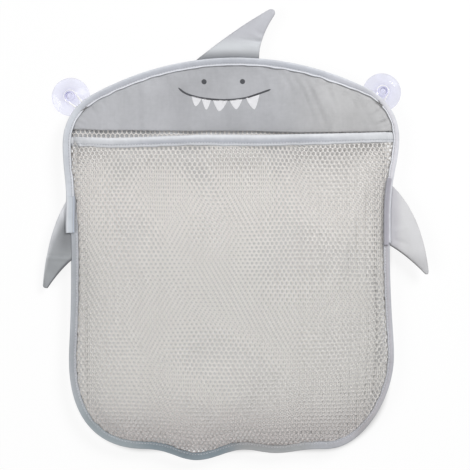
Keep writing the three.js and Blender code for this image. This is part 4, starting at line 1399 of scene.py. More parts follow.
def turned_end(name, side, top, bottom, near, far, material, seed):
    """A strip on the head tape's front leaf, between two heights and two distances from the edge."""
    run = np.linspace(edge_run(side, top), edge_run(side, bottom), 46)
    place, inward = edge_at(run)
    run = np.abs(run - run[0])
    share = np.linspace(0, 1, 9)
    start = near - head_proud(place) + HEAD_PROUD
    inset = start[:, None] + (far - near) * share[None]
    flat = place[:, None] + inward[:, None] * inset[..., None]
    rise = 0.3 * np.sin(math.pi * share) + 0.1 * (1 + ripple(run[:, None], 6 * share[None], 14.0, seed))
    depth = HEAD_HALF + TURNED_LIFT + rise
    points, faces = slab(upright(flat, depth + TURNED / 2), upright(flat, depth - TURNED / 2))
    uv = np.stack(np.broadcast_arrays(run[:, None], HEAD_LEAF * share[None]), -1).reshape(-1, 2)
    return hang(mesh_piece(name, points, faces, np.vstack([uv, uv])), "bag", "tape", material)


turned_end(
    "head_binding_left_end",
    side=-1,
    top=LEFT_TURN_TOP,
    bottom=HEAD_TAPE_LEFT_END - 0.4,
    near=-0.9,
    far=7.9,
    material=left_end_tape,
    seed=37,
)
turned_end(
    "pocket_binding_right_end",
    side=1,
    top=RIGHT_TURN_TOP,
    bottom=RIGHT_TURN_BOTTOM,
    near=0.4,
    far=5.4,
    material=right_end_tape,
    seed=38,
)

# %% [markdown]
# The hem is the same kind of tape over the front net's top edge, so the same sweep makes it. In the
# middle it is bowed forward with the net and a little wider. Its ends thin out and slip behind the
# head tape, and its left end slants as the net pulls on it.

# %% Pocket hem
HEM_HALF = 1.2
HEM_RISE = 1.0
HEM_REACH = 7.5
END_RUN = 8.0
END_THINNER = 0.15
END_LIFT = 0.4
HEM_WAVE = 0.5
HEM_SLANT = 0.75
SLANT_RUN = 45.0
HEM_WIDE = 1.02
WIDER_MIDDLE = 0.16
WIDER_RIGHT = 0.04
hem_x = np.arange(FIELD_LEFT - HEM_REACH, FIELD_RIGHT + HEM_REACH, TAPE_STEP)
bow = pocket_depth(np.clip(hem_x, FIELD_LEFT + 0.01, FIELD_RIGHT - 0.01), hem_top(hem_x))
from_end = np.minimum(hem_x - hem_x[0], hem_x[-1] - hem_x)
hem_end = smoothstep((HEM_REACH + END_RUN - from_end) / END_RUN)
hem_half = HEM_HALF - END_THINNER * hem_end
wider_middle = WIDER_MIDDLE * np.exp(-(((hem_x - 20) / 70) ** 2))
hem_wide = HEM_WIDE + wider_middle + WIDER_RIGHT * smoothstep(hem_x / 120)
hem_wave = HEM_WAVE * ripple(hem_x, 0 * hem_x, 60.0, 41) * (1 - hem_end)
hem_depth = NET_DEPTH + bow + END_LIFT * hem_end + hem_wave
hem_origin = upright(np.stack([hem_x, hem_top(hem_x) + HEM_RISE], -1), hem_depth)
hem_slope = np.clip(np.gradient(hem_depth, hem_x), -STEEPEST, STEEPEST)
hem_forward = np.stack([hem_slope, np.full_like(hem_x, -1.0), 0 * hem_x], -1)
hem_forward /= np.linalg.norm(hem_forward, axis=1)[:, None]
hem_slant = HEM_SLANT * smoothstep(1 - (hem_x - hem_x[0]) / SLANT_RUN)
hem_down = np.stack([hem_slant, -hem_slope * hem_slant, np.full_like(hem_x, -1.0)], -1)
hem, hem_skin, hem_inset = sweep_tape(
    "pocket_hem", hem_origin, hem_down, hem_forward, hem_x, HEM_LEAF, hem_half, 35, hem_wide
)
hang(hem, "bag", "tape", hem_tape, "pocket_hem_tape")

# %% [markdown]
# With the hem in place, the yarn in both nets is measured. Each was cut from a panel as wide as the
# bag, and a bit less than half of such a panel is yarn.

for net, points, faces, pieces in (
    (back_net, back_points, back_faces, []),
    (front_net, front_points, front_faces, [hem]),
):
    print(net.name, "has", strand_area(points, faces).round(4), "square metres of yarn")

# %% [markdown]
# Sewing shows as a row of short stitches, each one a small arched bead of thread that dips into the
# cloth at both ends. A bump pattern could hint at them, but from the side a seam stands up. So one
# stitch is shaped once and set down again and again along the seam lines.

# %% Stitches
STITCH = 2.3
STITCH_PITCH = 3.0
THREAD = 0.22
SEAM_THREAD = 0.26


def bead(length, radius, rings=7, sides=6):
    """One stitch along its own first axis, arched towards its third."""
    share = np.linspace(-1, 1, rings)
    girth = radius * np.sqrt(np.clip(1.02 - share**2, 0.02, 1)) ** 0.5
    angle = np.linspace(0, 2 * math.pi, sides, endpoint=False)
    ring = np.stack([np.cos(angle), np.sin(angle)], -1)
    points = np.empty((rings, sides, 3))
    points[..., 0] = (share * length / 2)[:, None]
    points[..., 1] = girth[:, None] * ring[None, :, 0]
    points[..., 2] = girth[:, None] * ring[None, :, 1] + (radius * (1 - 1.3 * share**2))[:, None]
    return points


def tube_faces(rings, sides):
    """Faces of a tube with closed ends, its points stored ring by ring."""
    index = np.arange(rings * sides).reshape(rings, sides)
    beside = np.roll(index, -1, 1)
    walls = np.stack([index[:-1], beside[:-1], beside[1:], index[1:]], -1).reshape(-1, 4).tolist()
    return walls + [index[0, ::-1].tolist(), index[-1].tolist()]


def sew(name, line, normal, body, material, pitch=STITCH_PITCH, length=STITCH, radius=THREAD):
    """A row of stitches along a line on a surface."""
    run = run_along(line)
    stops = np.arange(pitch, run[-1] - pitch, pitch)

    def at_stops(values):
        return np.stack([np.interp(stops, run, column) for column in values.T], -1)

    way, up = at_stops(np.gradient(line, axis=0)), at_stops(normal)
    way /= np.linalg.norm(way, axis=1)[:, None]
    up -= way * (up * way).sum(1)[:, None]
    up /= np.linalg.norm(up, axis=1)[:, None]
    axes = (way, np.cross(up, way), up)
    shape = bead(length, radius)
    spot = at_stops(line)[:, None, None]
    points = spot + sum(shape[None, ..., k, None] * axes[k][:, None, None] for k in range(3))
    one = tube_faces(*shape.shape[:2])
    size = shape.shape[0] * shape.shape[1]
    faces = [[corner + size * number for corner in face] for number in range(len(stops)) for face in one]
    return hang(mesh_piece(name, points.reshape(-1, 3), faces), body, "tape", material)


print("stitches are", STITCH, "mm long and", STITCH_PITCH, "mm apart")

# %% [markdown]
# The seams run where the tapes dip. Their lines could be drawn again, but the tapes' grids hold them:
# the column of points nearest to the seam is taken from each skin, on the front and on the back. The
# head's lower edge has a seam of its own, in a grey thread, which wavers a little. The thread's grey
# is partly painted shade, for the dark line under the head's edge.

# %% Seams
def seam_lines(skin, inset, leaf):
    """The lines of the seam on the front and on the back of a tape."""
    half = len(inset) // 2
    front = np.argmin(np.abs(inset[:half] - SEAM_AT * leaf))
    return {"front": skin[:, front], "back": skin[:, len(inset) - 1 - front]}


for name, skin, inset, leaf in (
    ("head_binding", head_skin, head_inset, HEAD_LEAF),
    ("pocket_binding", pocket_skin, pocket_inset, POCKET_LEAF),
    ("pocket_hem", hem_skin, hem_inset, HEM_LEAF),
):
    for face, line in seam_lines(skin, inset, leaf).items():
        out = np.broadcast_to(FORWARD if face == "front" else -FORWARD, line.shape)
        sew(f"{name}_{face}_stitches", line, out, "bag", thread_white)

seam_x = np.linspace(HEAD_LEFT + 6, HEAD_RIGHT - 6, 260)
seam_up = seam_z(seam_x) + 0.5 + 0.25 * ripple(seam_x, 0 * seam_x, 9.0, 44)
seam_line = upright(np.stack([seam_x, seam_up], -1), HEAD_CLOTH_DEPTH + CLOTH / 2)
seam_out = np.broadcast_to(FORWARD, seam_line.shape)
sew("head_seam_stitches", seam_line, seam_out, "bag", seam_shade_thread, radius=SEAM_THREAD)

# %% [markdown]
# The fins are two plies of cloth sewn round the rim, turned, and filled with a little wadding. First
# the flat pair is drawn as a grid from the base to the tip, between the fin's two edges. The plies
# share the points of their rim, which is the seam.

# %% Two plies of a fin
FIN_ROWS = 44
FIN_COLUMNS = 30


def quadratic(start, pull, end, count=40):
    """A simple curve from a start to an end that is drawn towards a third point."""
    t = np.linspace(0, 1, count)[:, None]
    start, pull, end = (np.asarray(p, float) for p in (start, pull, end))
    return start * (1 - t) ** 2 + 2 * pull * t * (1 - t) + end * t**2


def fin_grid(first, second, base):
    """Rows from the base line to the tip, between a fin's two edges."""
    one, two = set_out(first, FIN_ROWS), set_out(second, FIN_ROWS)
    share = np.linspace(0, 1, FIN_COLUMNS)
    grid = one[:, None] + (two - one)[:, None] * share[None, :, None]
    bend = set_out(base, FIN_COLUMNS) - grid[0]
    fade = (1 - np.linspace(0, 1, FIN_ROWS)) ** 3
    return grid + fade[:, None, None] * bend[None]


def both_plies(values):
    """Values on a fin's grid, for its front ply and then for the back ply's inner points."""
    return np.concatenate([values.reshape(FIN_ROWS * FIN_COLUMNS), values[1:-1, 1:-1].ravel()])


def pillow_faces():
    """Two grids that share their rim; the second one's inner points come after the first's."""
    front = np.arange(FIN_ROWS * FIN_COLUMNS).reshape(FIN_ROWS, FIN_COLUMNS)
    back = front.copy()
    inner = (FIN_ROWS - 2) * (FIN_COLUMNS - 2)
    back[1:-1, 1:-1] = front.size + np.arange(inner).reshape(FIN_ROWS - 2, -1)
    sides = []
    for index, turn in ((front, 1), (back, -1)):
        quads = [index[:-1, :-1], index[:-1, 1:], index[1:, 1:], index[1:, :-1]][::turn]
        sides.append(np.stack(quads, -1).reshape(-1, 4))
    return np.vstack(sides)


print("a fin has", len(pillow_faces()), "faces before smoothing")

# %% [markdown]
# A formula could round the plies, but it would leave them as smooth as a pebble. The cloth solver
# blows them up a little instead, which gathers small creases along the seams, as stuffing does. It
# runs ten times larger than life, because it is tuned for clothes.

# %% Blow up a fin
SOLVER_SCALE = 10
SOLVER_FRAMES = 24
FIN_CLOTH = {
    "quality": 6,
    "mass": 0.2,
    "tension_stiffness": 25,
    "compression_stiffness": 25,
    "shear_stiffness": 8,
    "bending_stiffness": 0.6,
    "use_pressure": True,
    "uniform_pressure_force": 3.0,
}


def blow_up(points, faces, base_count):
    """Runs the cloth solver with a little pressure inside; the base row is held."""
    mesh = bpy.data.meshes.new("solver")
    mesh.from_pydata((points * MM * SOLVER_SCALE).tolist(), [], faces.tolist())
    solver = bpy.data.objects.new("solver", mesh)
    bpy.context.scene.collection.objects.link(solver)
    held = solver.vertex_groups.new(name="held")
    held.add(list(range(base_count)), 1.0, "REPLACE")
    cloth = solver.modifiers.new("cloth", "CLOTH")
    for setting, value in FIN_CLOTH.items():
        setattr(cloth.settings, setting, value)
    cloth.settings.vertex_group_mass = "held"
    cloth.settings.effector_weights.gravity = 0
    cloth.collision_settings.use_collision = False
    for number in range(1, SOLVER_FRAMES + 1):
        bpy.context.scene.frame_set(number)
    result = solver.evaluated_get(bpy.context.evaluated_depsgraph_get()).to_mesh()
    flat = np.empty(3 * len(result.vertices))
    result.vertices.foreach_get("co", flat)
    bpy.data.objects.remove(solver)
    bpy.data.meshes.remove(mesh)
    bpy.context.scene.frame_set(1)
    return flat.reshape(-1, 3) / MM / SOLVER_SCALE


print("the solver runs for", SOLVER_FRAMES, "frames")

# %% [markdown]
# The solver also pulls the rim in, so each row is then stretched back to the drawn outline. The plies
# part slowly from a flat base, and their depth is brought to a set crown.

# %% Stuff a fin
FIN_CROWN = 4.4
BASE_RISE = 12.0
FLAT_CROWN = 0.25
PLUMP = 0.75


def hold_outline(blown, drawn):
    """Stretches each row of a blown-up fin, so that its rim is back on the drawn outline."""
    size = FIN_ROWS * FIN_COLUMNS
    slip = (drawn - blown)[:size].reshape(FIN_ROWS, FIN_COLUMNS, 3) * (1, 0, 1)
    column = np.linspace(0, 1, FIN_COLUMNS)[None, :, None]
    move = slip[:, :1] * (1 - column) + slip[:, -1:] * column
    return blown + np.vstack([move.reshape(-1, 3), move[1:-1, 1:-1].reshape(-1, 3)])


def base_ramp(grid):
    """The plies meet flat at the base and part over a short height."""
    above = np.linalg.norm(grid - grid[:1], axis=2)
    return 1 - (1 - np.clip(above / BASE_RISE, 0, 1)) ** 2


def stuffed(grid, crown, seed):
    """A filled fin in its own plane: across, depth towards the viewer, up."""
    row = np.linspace(0, 1, FIN_ROWS)[:, None]
    column = np.linspace(0, 1, FIN_COLUMNS)[None]
    upward = np.sin(math.pi * np.clip(0.06 + 0.94 * row, 0, 1)) ** 0.5
    full = (4 * column * (1 - column)) ** 0.55 * upward
    start = FLAT_CROWN * full * (1 + 0.15 * ripple(grid[..., 0], grid[..., 1], 22.0, seed))
    front = np.stack([grid[..., 0], start, grid[..., 1]], -1)
    back = np.stack([grid[..., 0], -start, grid[..., 1]], -1)
    points = np.vstack([front.reshape(-1, 3), back[1:-1, 1:-1].reshape(-1, 3)])
    faces = pillow_faces()
    points = hold_outline(blow_up(points, faces, FIN_COLUMNS), points)
    points[:, 1] *= both_plies(base_ramp(grid)).ravel()
    print("  widest before the cap", np.abs(points[:, 1]).max().round(2), "mm")
    share = points[:, 1] / max(np.abs(points[:, 1]).max(), 0.1)
    points[:, 1] = crown * np.sign(share) * np.abs(share) ** PLUMP
    return points, faces


print("a fin stands", FIN_CROWN, "mm to the front and to the back")

# %% [markdown]
# Each fin stands in its own small frame: up along its hinge line and across from it. A few creases
# are pinched into its front, the rim is kept sharp, and the rest is smoothed once. The share across
# the fin is stored at each point as "rim", so that the finish can paint shade along a fin's lower
# edge and light along its outer edge.

# %% Raise a fin
FIN_PARTS = ("front_cloth", "back_cloth", "wadding")


def joint_place(name):
    """A joint's place from the frame's record, in millimetres."""
    return np.array(JOINTS[name]["pos_m"]) / MM


def pinch(points, start, end, height, width):
    """A crease on the front ply: a ridge or a groove that dies away from its start to its end."""
    start, end = np.array(start, float), np.array(end, float)
    way = end - start
    off = points[:, [0, 2]] - start
    along = (off @ way) / (way @ way)
    aside = (off[:, 0] * way[1] - off[:, 1] * way[0]) / np.linalg.norm(way)
    lasting = smoothstep((along + 0.2) / 0.2) * smoothstep(1 - along)
    return height * lasting * np.exp(-((aside / width) ** 2))


def mark_rim(obj):
    """Stores the share across the fin at each point, and keeps the rim sharp when it is smoothed."""
    across = np.tile(np.linspace(0, 1, FIN_COLUMNS), (FIN_ROWS, 1))
    share = obj.data.attributes.new("rim", "FLOAT", "POINT")
    share.data.foreach_set("value", both_plies(across))
    rim = np.zeros((FIN_ROWS, FIN_COLUMNS), bool)
    rim[[0, -1]] = rim[:, [0, -1]] = True
    on_rim = both_plies(rim)
    crease = obj.data.attributes.new("crease_edge", "FLOAT", "EDGE")
    for edge in obj.data.edges:
        crease.data[edge.index].value = float(on_rim[edge.vertices[0]] and on_rim[edge.vertices[1]])


def smooth_once(obj):
    """Splits each face in four and rounds the result."""
    rounder = obj.modifiers.new("rounder", "SUBSURF")
    rounder.levels = rounder.render_levels = 1
    bpy.context.view_layer.objects.active = obj
    obj.select_set(True)
    bpy.ops.object.modifier_apply(modifier=rounder.name)
    obj.select_set(False)
    obj.data.shade_smooth()


def raise_fin(name, grid, origin, across, up, seed, creases):
    """A stuffed fin set up in its frame, with its creases, and smoothed once."""
    points, faces = stuffed(grid, FIN_CROWN, seed)
    size = FIN_ROWS * FIN_COLUMNS
    puffed = points[:size, 1] / FIN_CROWN
    points[:size, 1] += smoothstep(puffed * 2) * sum(pinch(points[:size], *crease) for crease in creases)
    local = np.stack([across, np.cross(across, up), up])
    obj = mesh_piece(name, origin + points @ local, faces)
    mark_rim(obj)
    smooth_once(obj)
    return obj


def finish_fin(obj, body, material):
    """Takes the three solids' place, then is unhooked from its body and keeps its place in the world."""
    hang(obj, "bag", "cloth", material, *[f"{body}_{part}" for part in FIN_PARTS])
    obj.parent = None
    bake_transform(obj)


# %% [markdown]
# The dorsal fin's base follows the arch, its leading edge is one long curve, and its trailing edge
# turns back under a rounded tip. Its hinge comes from the joint in the frame's record, so it sits
# where the solid does. Each crease has a start and an end, a height and a half width.

# %% Dorsal fin
FIN_TUCK = 0.9
ARCH_RADIUS = 306.0
CROWN_Z = EDGE[:, 1].max()
dorsal_hinge = joint_place("dorsal_fin_flap")
dorsal_seat = ARCH_RADIUS + dorsal_hinge[2] - CROWN_Z - FIN_TUCK
DORSAL_LEFT, DORSAL_RIGHT = -36.4, 29.2
DORSAL_CREASES = [
    ((33.0, 53.5), (2.0, 58.0), -1.6, 1.6),
    ((33.0, 57.0), (12.0, 66.0), 1.3, 1.8),
    ((34.0, 61.0), (20.0, 70.0), -0.9, 1.3),
    ((30.0, 49.0), (-4.0, 50.0), 0.7, 2.4),
]
TIP = np.array([46.5, 89.5])
TIP_ROUND = 6.5


def dorsal_base(x):
    """The dorsal fin's base follows the arch of the head tape."""
    return CROWN_Z - ARCH_RADIUS + np.sqrt(dorsal_seat**2 - (x - dorsal_hinge[0]) ** 2)


LEAD_PULL = (0.49, 0.61)
TRAIL_PULL = 0.4
base_x = np.linspace(DORSAL_LEFT, DORSAL_RIGHT, 40)
base = np.stack([base_x, dorsal_base(base_x)], -1)
lead_end = TIP - TIP_ROUND * np.array([1.0, 0.2])
trail_start = TIP - TIP_ROUND * np.array([0.1, 1.0])
nose = quadratic(lead_end, TIP, trail_start)
lead_pull = base[0] + (TIP - base[0]) * LEAD_PULL
lead = np.vstack([quadratic(base[0], lead_pull, lead_end), nose[1:20]])
trail_pull = np.array([base[-1, 0], base[-1, 1] + TRAIL_PULL * (TIP[1] - base[-1, 1])])
trail = np.vstack([quadratic(base[-1], trail_pull, trail_start), nose[-2:18:-1]])
dorsal = raise_fin(
    "dorsal_fin_pad",
    fin_grid(lead, trail, base),
    origin=np.array([0.0, BAG_Y, 0.0]),
    across=np.array([1.0, 0.0, 0.0]),
    up=np.array([0.0, 0.0, 1.0]),
    seed=51,
    creases=DORSAL_CREASES,
)
finish_fin(dorsal, "dorsal_fin", dorsal_cloth)

# %% [markdown]
# The side fins are alike, so one function draws both. The left one reaches less far and is bent
# towards the wall: its grid is leaned about its hinge line. Both bases follow the tape's fold.

# %% Side fins
SIDE_LENGTH = 92.0
SIDE_BASE = 63.0
SHOULDER_PULL = (0.79, -0.33)
WAIST_PULL = 0.045
TIP_CORNER = 0.4
SIDE_TUCK = 1.2
RIGHT_CREASES = [
    ((4.0, -48.0), (24.0, -40.0), 0.6, 2.2),
    ((4.0, -58.0), (22.0, -62.0), -0.6, 2.0),
]
LEFT_CREASES = [
    ((4.0, -61.0), (-40.0, -60.0), 2.0, 0.95),
    ((4.0, -58.6), (-40.0, -57.6), -1.2, 1.2),
]


def side_fin(name, side, reach, bend, tip_width, material, seed, creases):
    """A side fin drawn from the top of its hinge line, then hung along the tape."""
    joint = JOINTS[f"{name}_flap"]
    up = np.array(joint["axis"])
    top = joint_place(f"{name}_flap") * (1, 0, 1) + (0, BAG_Y, 0)
    flat_across = np.array([up[2], 0.0, -up[0]])
    lean = math.radians(bend * side)
    across = flat_across * math.cos(lean) + np.cross(up, flat_across) * math.sin(lean)
    heights = np.linspace(top[2] + 0.4, top[2] - SIDE_BASE, 30)
    place, inward = edge_at(np.array([edge_run(side, z) for z in heights]))
    below = (place[:, 0] < 0) & (place[:, 1] < HEAD_TAPE_LEFT_END)
    proud = np.where(below, POCKET_PROUD, head_proud(place))
    seat = place - inward * (proud - SIDE_TUCK)[:, None] - (top[0], top[2])
    base = np.stack([seat @ flat_across[[0, 2]], seat @ up[[0, 2]]], -1)
    out = side * reach
    tip = (out, TIP_CORNER * tip_width - SIDE_LENGTH)
    foot = (out - side * tip_width, -SIDE_LENGTH)
    shoulder = (SHOULDER_PULL[0] * out, SHOULDER_PULL[1] * SIDE_LENGTH)
    round_tip = quadratic(tip, (out, -SIDE_LENGTH), foot)
    upper_edge = quadratic(base[0], shoulder, tip)
    waist = (np.array(foot) + base[-1]) / 2 + (0, WAIST_PULL * SIDE_LENGTH)
    lower_edge = quadratic(base[-1], waist, foot)
    first = np.vstack([upper_edge, round_tip[1:20]])
    second = np.vstack([lower_edge, round_tip[-2:18:-1]])
    obj = raise_fin(f"{name}_pad", fin_grid(first, second, base), top, across, up, seed, creases)
    finish_fin(obj, name, material)


side_fin(
    "right_fin",
    side=1,
    reach=40.0,
    bend=0.0,
    tip_width=3.6,
    material=right_fin_cloth,
    seed=52,
    creases=RIGHT_CREASES,
)
side_fin(
    "left_fin",
    side=-1,
    reach=25.0,
    bend=20.0,
    tip_width=5.4,
    material=left_fin_cloth,
    seed=53,
    creases=LEFT_CREASES,
)

# %% [markdown]
# The elastic loops are braided cord. A loop leaves the tape, runs to the cup, turns round its neck
# and comes back. The braid could be a bump, but a cord this thin shows it along its outline. So it is
# modelled: two sets of ridges wind round the cord in opposite ways.

# %% Elastic loops
CORD = 2.4
CORD_CLEARANCE = 0.4
NECK = 4.2
LOOP_ROOT = 6.0
LOOP_Y = JOINTS["left_cup_swivel"]["pos_m"][1] / MM
CORD_SIDES = 18
BRAID_TURN = 2.6
BRAID_LOW, BRAID_RIDGE = 0.94, 0.06
SIDES = ("left", "right")


def loop_route(cup, root):
    """The cord's middle line, as in the solid: leg, turn round the neck, leg."""
    along = (cup - root) / np.linalg.norm(cup - root)
    across = np.array([-along[1], along[0]])
    bend = NECK + CORD_CLEARANCE + CORD / 2
    angle = np.linspace(0, math.pi, 7)[:, None]
    turn = cup + bend * (across * np.cos(angle) + along * np.sin(angle))
    legs = [root + side * LOOP_ROOT / 2 * across for side in (1, -1)]
    route = [legs[0], (legs[0] + turn[0]) / 2, *turn, (legs[1] + turn[6]) / 2, legs[1]]
    return upright(curve_through(route, 240), BAG_Y - LOOP_Y)


def braid(name, line, radius):
    """A braided cord round a line of points."""
    way = np.gradient(line, axis=0)
    way /= np.linalg.norm(way, axis=1)[:, None]
    side_way = np.broadcast_to([0.0, 1.0, 0.0], way.shape)
    up_way = np.cross(way, side_way)
    angle = np.linspace(0, 2 * math.pi, CORD_SIDES, endpoint=False)
    phase = 2 * math.pi * run_along(line)[:, None] / BRAID_TURN
    ridges = np.maximum(np.sin(3 * angle + phase), np.sin(3 * angle - phase))
    girth = radius * (BRAID_LOW + BRAID_RIDGE * ridges)
    cosine, sine = np.cos(angle)[None, :, None], np.sin(angle)[None, :, None]
    points = line[:, None] + girth[..., None] * (cosine * side_way[:, None] + sine * up_way[:, None])
    return mesh_piece(name, points.reshape(-1, 3), tube_faces(len(line), CORD_SIDES))


LOOP_ROOTS = {name: joint_place(f"{name}_loop_flex")[[0, 2]] for name in SIDES}
CUPS = {name: joint_place(f"{name}_cup_swivel")[[0, 2]] for name in SIDES}
for name in SIDES:
    line = loop_route(CUPS[name], LOOP_ROOTS[name])
    loop = braid(f"{name}_elastic_loop", line, CORD / 2)
    hang(loop, f"{name}_loop", "elastic", elastic_white, f"{name}_hanging_loop")

# %% [markdown]
# Where a loop is sewn in, the machine goes back and forth over the tape: a bar tack. It is a close
# row of zigzag stitches across the seam, on the tape's front, so the same stitch is set down along
# a zigzag line. Its thread is dark grey, and its darkness is partly painted shade between the puckers.

# %% Bar tacks
TACK_LENGTH = 9.0
TACK_TURNS = 13
TACK_SWING = 1.3
TACK_AT = 0.9
TACK_PITCH = 2.9
TACK_STITCH = 2.8
tack_run = np.linspace(-TACK_LENGTH / 2, TACK_LENGTH / 2, TACK_TURNS)
zigzag = np.where(np.arange(TACK_TURNS) % 2, TACK_SWING, -TACK_SWING)[:, None]
for name, root in LOOP_ROOTS.items():
    nearest = np.argmin(np.linalg.norm(EDGE - root, axis=1))
    place, inward = edge_at(EDGE_RUN[nearest] + tack_run)
    leaf = HEAD_LEAF + (RIGHT_LEAF - HEAD_LEAF) * right_side(place)[:, None]
    line = upright(place + inward * (leaf * TACK_AT - HEAD_PROUD + zigzag), HEAD_HALF + 0.5)
    up = np.broadcast_to(FORWARD, line.shape)
    sew(f"{name}_bar_tack", line, up, "bag", tack_shade_thread, pitch=TACK_PITCH, length=TACK_STITCH)

# %% [markdown]
# The suction cups are moulded: a thin rim that lies flat on the wall, a dome with a shallow hollow,
# a neck for the loop and a rounded knob with a dimple in its top. They are round, so no modelling by
# hand is needed: a fine profile is spun about the cup's middle.

# %% Suction cups
CUP_RADIUS = 20.0
CUP_RIM = 0.9
CUP_SEAT = 4.0
CUP_HOLLOW = 2.2
CUP_DOME = 7.4
CUP_SHOULDER = 6.4
GROOVE = 3.4
KNOB_RADIUS = 5.8
# The knob's profile: shares of its radius, and heights above its foot
KNOB_SIDE = [(0.94, 0.5), (1.0, 1.75), (0.93, 3.3), (0.8, 4.5), (0.66, 5.0)]
KNOB_DIMPLE = [(0.48, 4.3), (0.24, 3.3), (0.0, 3.1)]
DOME_POINTS = 22
CUP_TURNS = 96


def cup_profile():
    """Radius and height from the middle of the hollow, over the rim and dome, to the knob's top."""
    share = np.linspace(0, 1, 14)
    hollow = np.stack([(CUP_RADIUS - CUP_SEAT) * share, CUP_HOLLOW * (1 - share**2)], -1)
    angle = np.linspace(-math.pi / 2, math.pi / 2, 9)
    rim_round = CUP_RIM / 2
    rim_radius = CUP_RADIUS - rim_round + rim_round * np.cos(angle)
    rim = np.stack([rim_radius, rim_round + rim_round * np.sin(angle)], -1)
    up_dome = np.linspace(0, 1, DOME_POINTS)
    rise = (1 - np.cos(up_dome * math.pi / 2)) ** 0.8
    dome_radius = CUP_RADIUS - 0.6 + (CUP_SHOULDER - CUP_RADIUS + 0.6) * up_dome
    dome = np.stack([dome_radius, CUP_RIM + (CUP_DOME * 0.85 - CUP_RIM) * rise], -1)
    foot = CUP_DOME + GROOVE
    neck = [(5.2, CUP_DOME * 0.93), (NECK + 0.3, CUP_DOME), (NECK, CUP_DOME + 0.6), (NECK, foot - 0.5)]
    knob = [(KNOB_RADIUS * share, foot + height) for share, height in KNOB_SIDE + KNOB_DIMPLE]
    knob.insert(0, (NECK + 0.4, foot))
    upper_part = curve_through(np.vstack([dome[-3:], neck, knob]), 60)
    return np.vstack([hollow, rim, dome[1:-3], upper_part])


def spun(profile, x, z):
    """Points and faces of a profile spun about a place on the wall, closed at both ends."""
    spin = np.linspace(0, 2 * math.pi, CUP_TURNS, endpoint=False)
    rings = np.empty((len(profile) - 2, CUP_TURNS, 3))
    rings[..., 0] = x + profile[1:-1, :1] * np.cos(spin)
    rings[..., 1] = -profile[1:-1, 1:]
    rings[..., 2] = z + profile[1:-1, :1] * np.sin(spin)
    ends = np.array([[x, -profile[0, 1], z], [x, -profile[-1, 1], z]])
    count = rings.shape[0] * CUP_TURNS
    index = np.arange(count).reshape(-1, CUP_TURNS)
    faces = tube_faces(rings.shape[0], CUP_TURNS)[:-2]
    faces += [[a, b, count] for a, b in zip(np.roll(index[0], -1), index[0])]
    faces += [[a, b, count + 1] for a, b in zip(index[-1], np.roll(index[-1], -1))]
    return np.vstack([rings.reshape(-1, 3), ends]), faces


for name, (x, z) in CUPS.items():
    cup = mesh_piece(f"{name}_cup", *spun(cup_profile(), x, z))
    hang(cup, f"{name}_cup", "clear_vinyl", clear_vinyl, f"{name}_suction_cup")

# %% [markdown]
# The bag hangs on a pale wall that runs down into a floor over a soft bend. It could hang in empty
# space, but the clear cups and the holes of the net need something behind them.

# %% Wall and floor
WALL_Y = 0.8
WALL_TOP = 1500.0
WALL_HALF = 1600.0
FLOOR_Z = -620.0
FLOOR_FRONT = -2600.0
COVE = 160.0


def backdrop():
    """The wall and the floor as one bent strip."""
    angle = np.linspace(0, math.pi / 2, 12)
    bend_y = WALL_Y - COVE + COVE * np.cos(angle)
    bend_z = FLOOR_Z + COVE - COVE * np.sin(angle)
    line = [(WALL_Y, WALL_TOP), *zip(bend_y, bend_z), (FLOOR_FRONT, FLOOR_Z)]
    grid = np.array([[(x, y, z) for y, z in line] for x in (-WALL_HALF, WALL_HALF)])
    mesh = bpy.data.meshes.new("backdrop")
    mesh.from_pydata((grid.reshape(-1, 3) * MM).tolist(), [], grid_quads(*grid.shape[:2]).tolist())
    mesh.shade_smooth()
    obj = bpy.data.objects.new("backdrop", mesh)
    bpy.context.scene.collection.objects.link(obj)
    return obj


wall = backdrop()
wall.visible_diffuse = False
wall.visible_shadow = False
print("the wall stands at", WALL_Y, "mm and the floor lies at", FLOOR_Z, "mm")

# %% [markdown]
# Behind the bag the wall lies in its soft shade, and that is what makes the holes of the net look
# grey. A cast shadow would move with every lamp, so the shade is a rounded patch in the wall's own
# finish, and around it the wall glows a little, as an overexposed background does. Seen from behind,
# the wall is left clear, so that the back of the bag can be looked at.

# %% Wall finish
OPEN_GLOW = 0.86
OPEN_WALL = (0.92, 0.92, 0.92, 1.0)
SHADED_WALL = (0.66, 0.66, 0.66, 1.0)
WHITE = (1.0, 1.0, 1.0, 1.0)
SHADE_MIDDLE = (0.0, -186.0)
SHADE_HALF = (167.0, 188.0)
SHADE_ROUND = 76.0
SHADE_SOFT = (-6.0, 3.0)


def seen_rays(tree):
    """1 for rays that are seen straight, mirrored or through something clear, and 0 for the others."""
    rays = node(tree, "LightPath").outputs
    straight = calc(tree, "MAXIMUM", rays["Is Camera Ray"], rays["Is Glossy Ray"])
    return calc(tree, "MAXIMUM", straight, rays["Is Transmission Ray"])


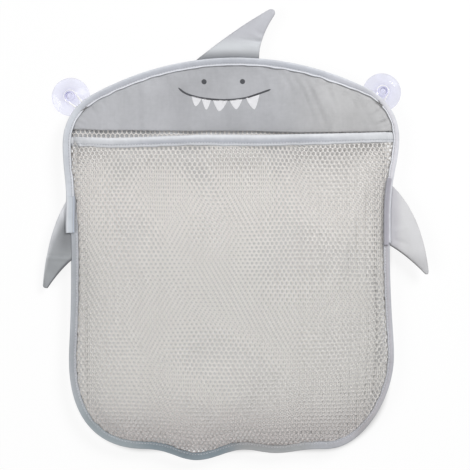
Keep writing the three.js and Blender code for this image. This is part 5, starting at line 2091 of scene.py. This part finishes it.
pale_wall, tree, shader = finish_named("pale_wall", Roughness=0.9, Specular_IOR_Level=0.1)
spot = node(tree, "SeparateXYZ", Vector=node(tree, "TexCoord").outputs["Object"])
past = []
for axis, middle, half_size in zip("XZ", SHADE_MIDDLE, SHADE_HALF):
    off = calc(tree, "ABSOLUTE", calc(tree, "SUBTRACT", spot.outputs[axis], middle * MM))
    past.append(calc(tree, "MAXIMUM", calc(tree, "SUBTRACT", off, (half_size - SHADE_ROUND) * MM), 0.0))
reach = calc(tree, "SQRT", calc(tree, "ADD", *(calc(tree, "MULTIPLY", v, v) for v in past)))
beyond = soft_ramp(tree, reach, *((SHADE_ROUND + soft) * MM for soft in SHADE_SOFT))
put(tree, shader.inputs["Base Color"], blend_colours(tree, beyond, SHADED_WALL, OPEN_WALL))
glow = node(tree, "Emission", Color=WHITE, Strength=1.0).outputs[0]
glowing = calc(tree, "MULTIPLY", seen_rays(tree), calc(tree, "MULTIPLY", beyond, OPEN_GLOW))
lit_wall = mix_shaders(tree, glowing, shader.outputs[0], glow)
clear = node(tree, "BsdfTransparent").outputs[0]
behind = node(tree, "NewGeometry").outputs["Backfacing"]
either = mix_shaders(tree, behind, lit_wall, clear)
put(tree, tree.nodes["Material Output"].inputs["Surface"], either)
wall.data.materials.append(pale_wall)
print("the shade on the wall is", 2 * SHADE_HALF[0], "by", 2 * SHADE_HALF[1], "mm")

# %% [markdown]
# The light is soft and comes mostly from the upper right, with a weaker lamp on the left and one
# behind. One large lamp in front would be simpler, but it would flatten the folds. The white
# surroundings are bright where they are seen and dimmer as a lamp, so that the folds keep their
# shadows. The cups show no bright spot, so the main lamp is left out of reflections.

# %% Light
AMBIENT = 0.38
LAMP_TARGET = Vector((0.0, -30.0, -150.0))
world = bpy.data.worlds.new("studio")
bpy.context.scene.world = world
world.use_nodes = True
tree = world.node_tree
strength = calc(tree, "ADD", calc(tree, "MULTIPLY", seen_rays(tree), 1 - AMBIENT), AMBIENT)
put(tree, tree.nodes["Background"].inputs["Color"], WHITE)
put(tree, tree.nodes["Background"].inputs["Strength"], strength)


def soft_lamp(name, place, size, power, mirrored=True):
    """A round lamp that points at the bag; mirrored tells whether reflections show it."""
    data = bpy.data.lights.new(name, "AREA")
    data.shape = "DISK"
    data.size = size * MM
    data.energy = power
    lamp = bpy.data.objects.new(name, data)
    lamp.location = Vector(place) * MM
    aim = LAMP_TARGET - Vector(place)
    lamp.rotation_euler = aim.to_track_quat("-Z", "Y").to_euler()
    lamp.visible_glossy = mirrored
    bpy.context.scene.collection.objects.link(lamp)
    print(name, "gives", power, "watts")


soft_lamp("key_lamp", (1150.0, -1500.0, 950.0), 1000.0, 32.0, mirrored=False)
soft_lamp("fill_lamp", (-1300.0, -1500.0, -300.0), 1300.0, 13.0)
soft_lamp("back_lamp", (-500.0, 1700.0, 500.0), 1200.0, 16.0)
bpy.context.scene.view_settings.view_transform = "Standard"
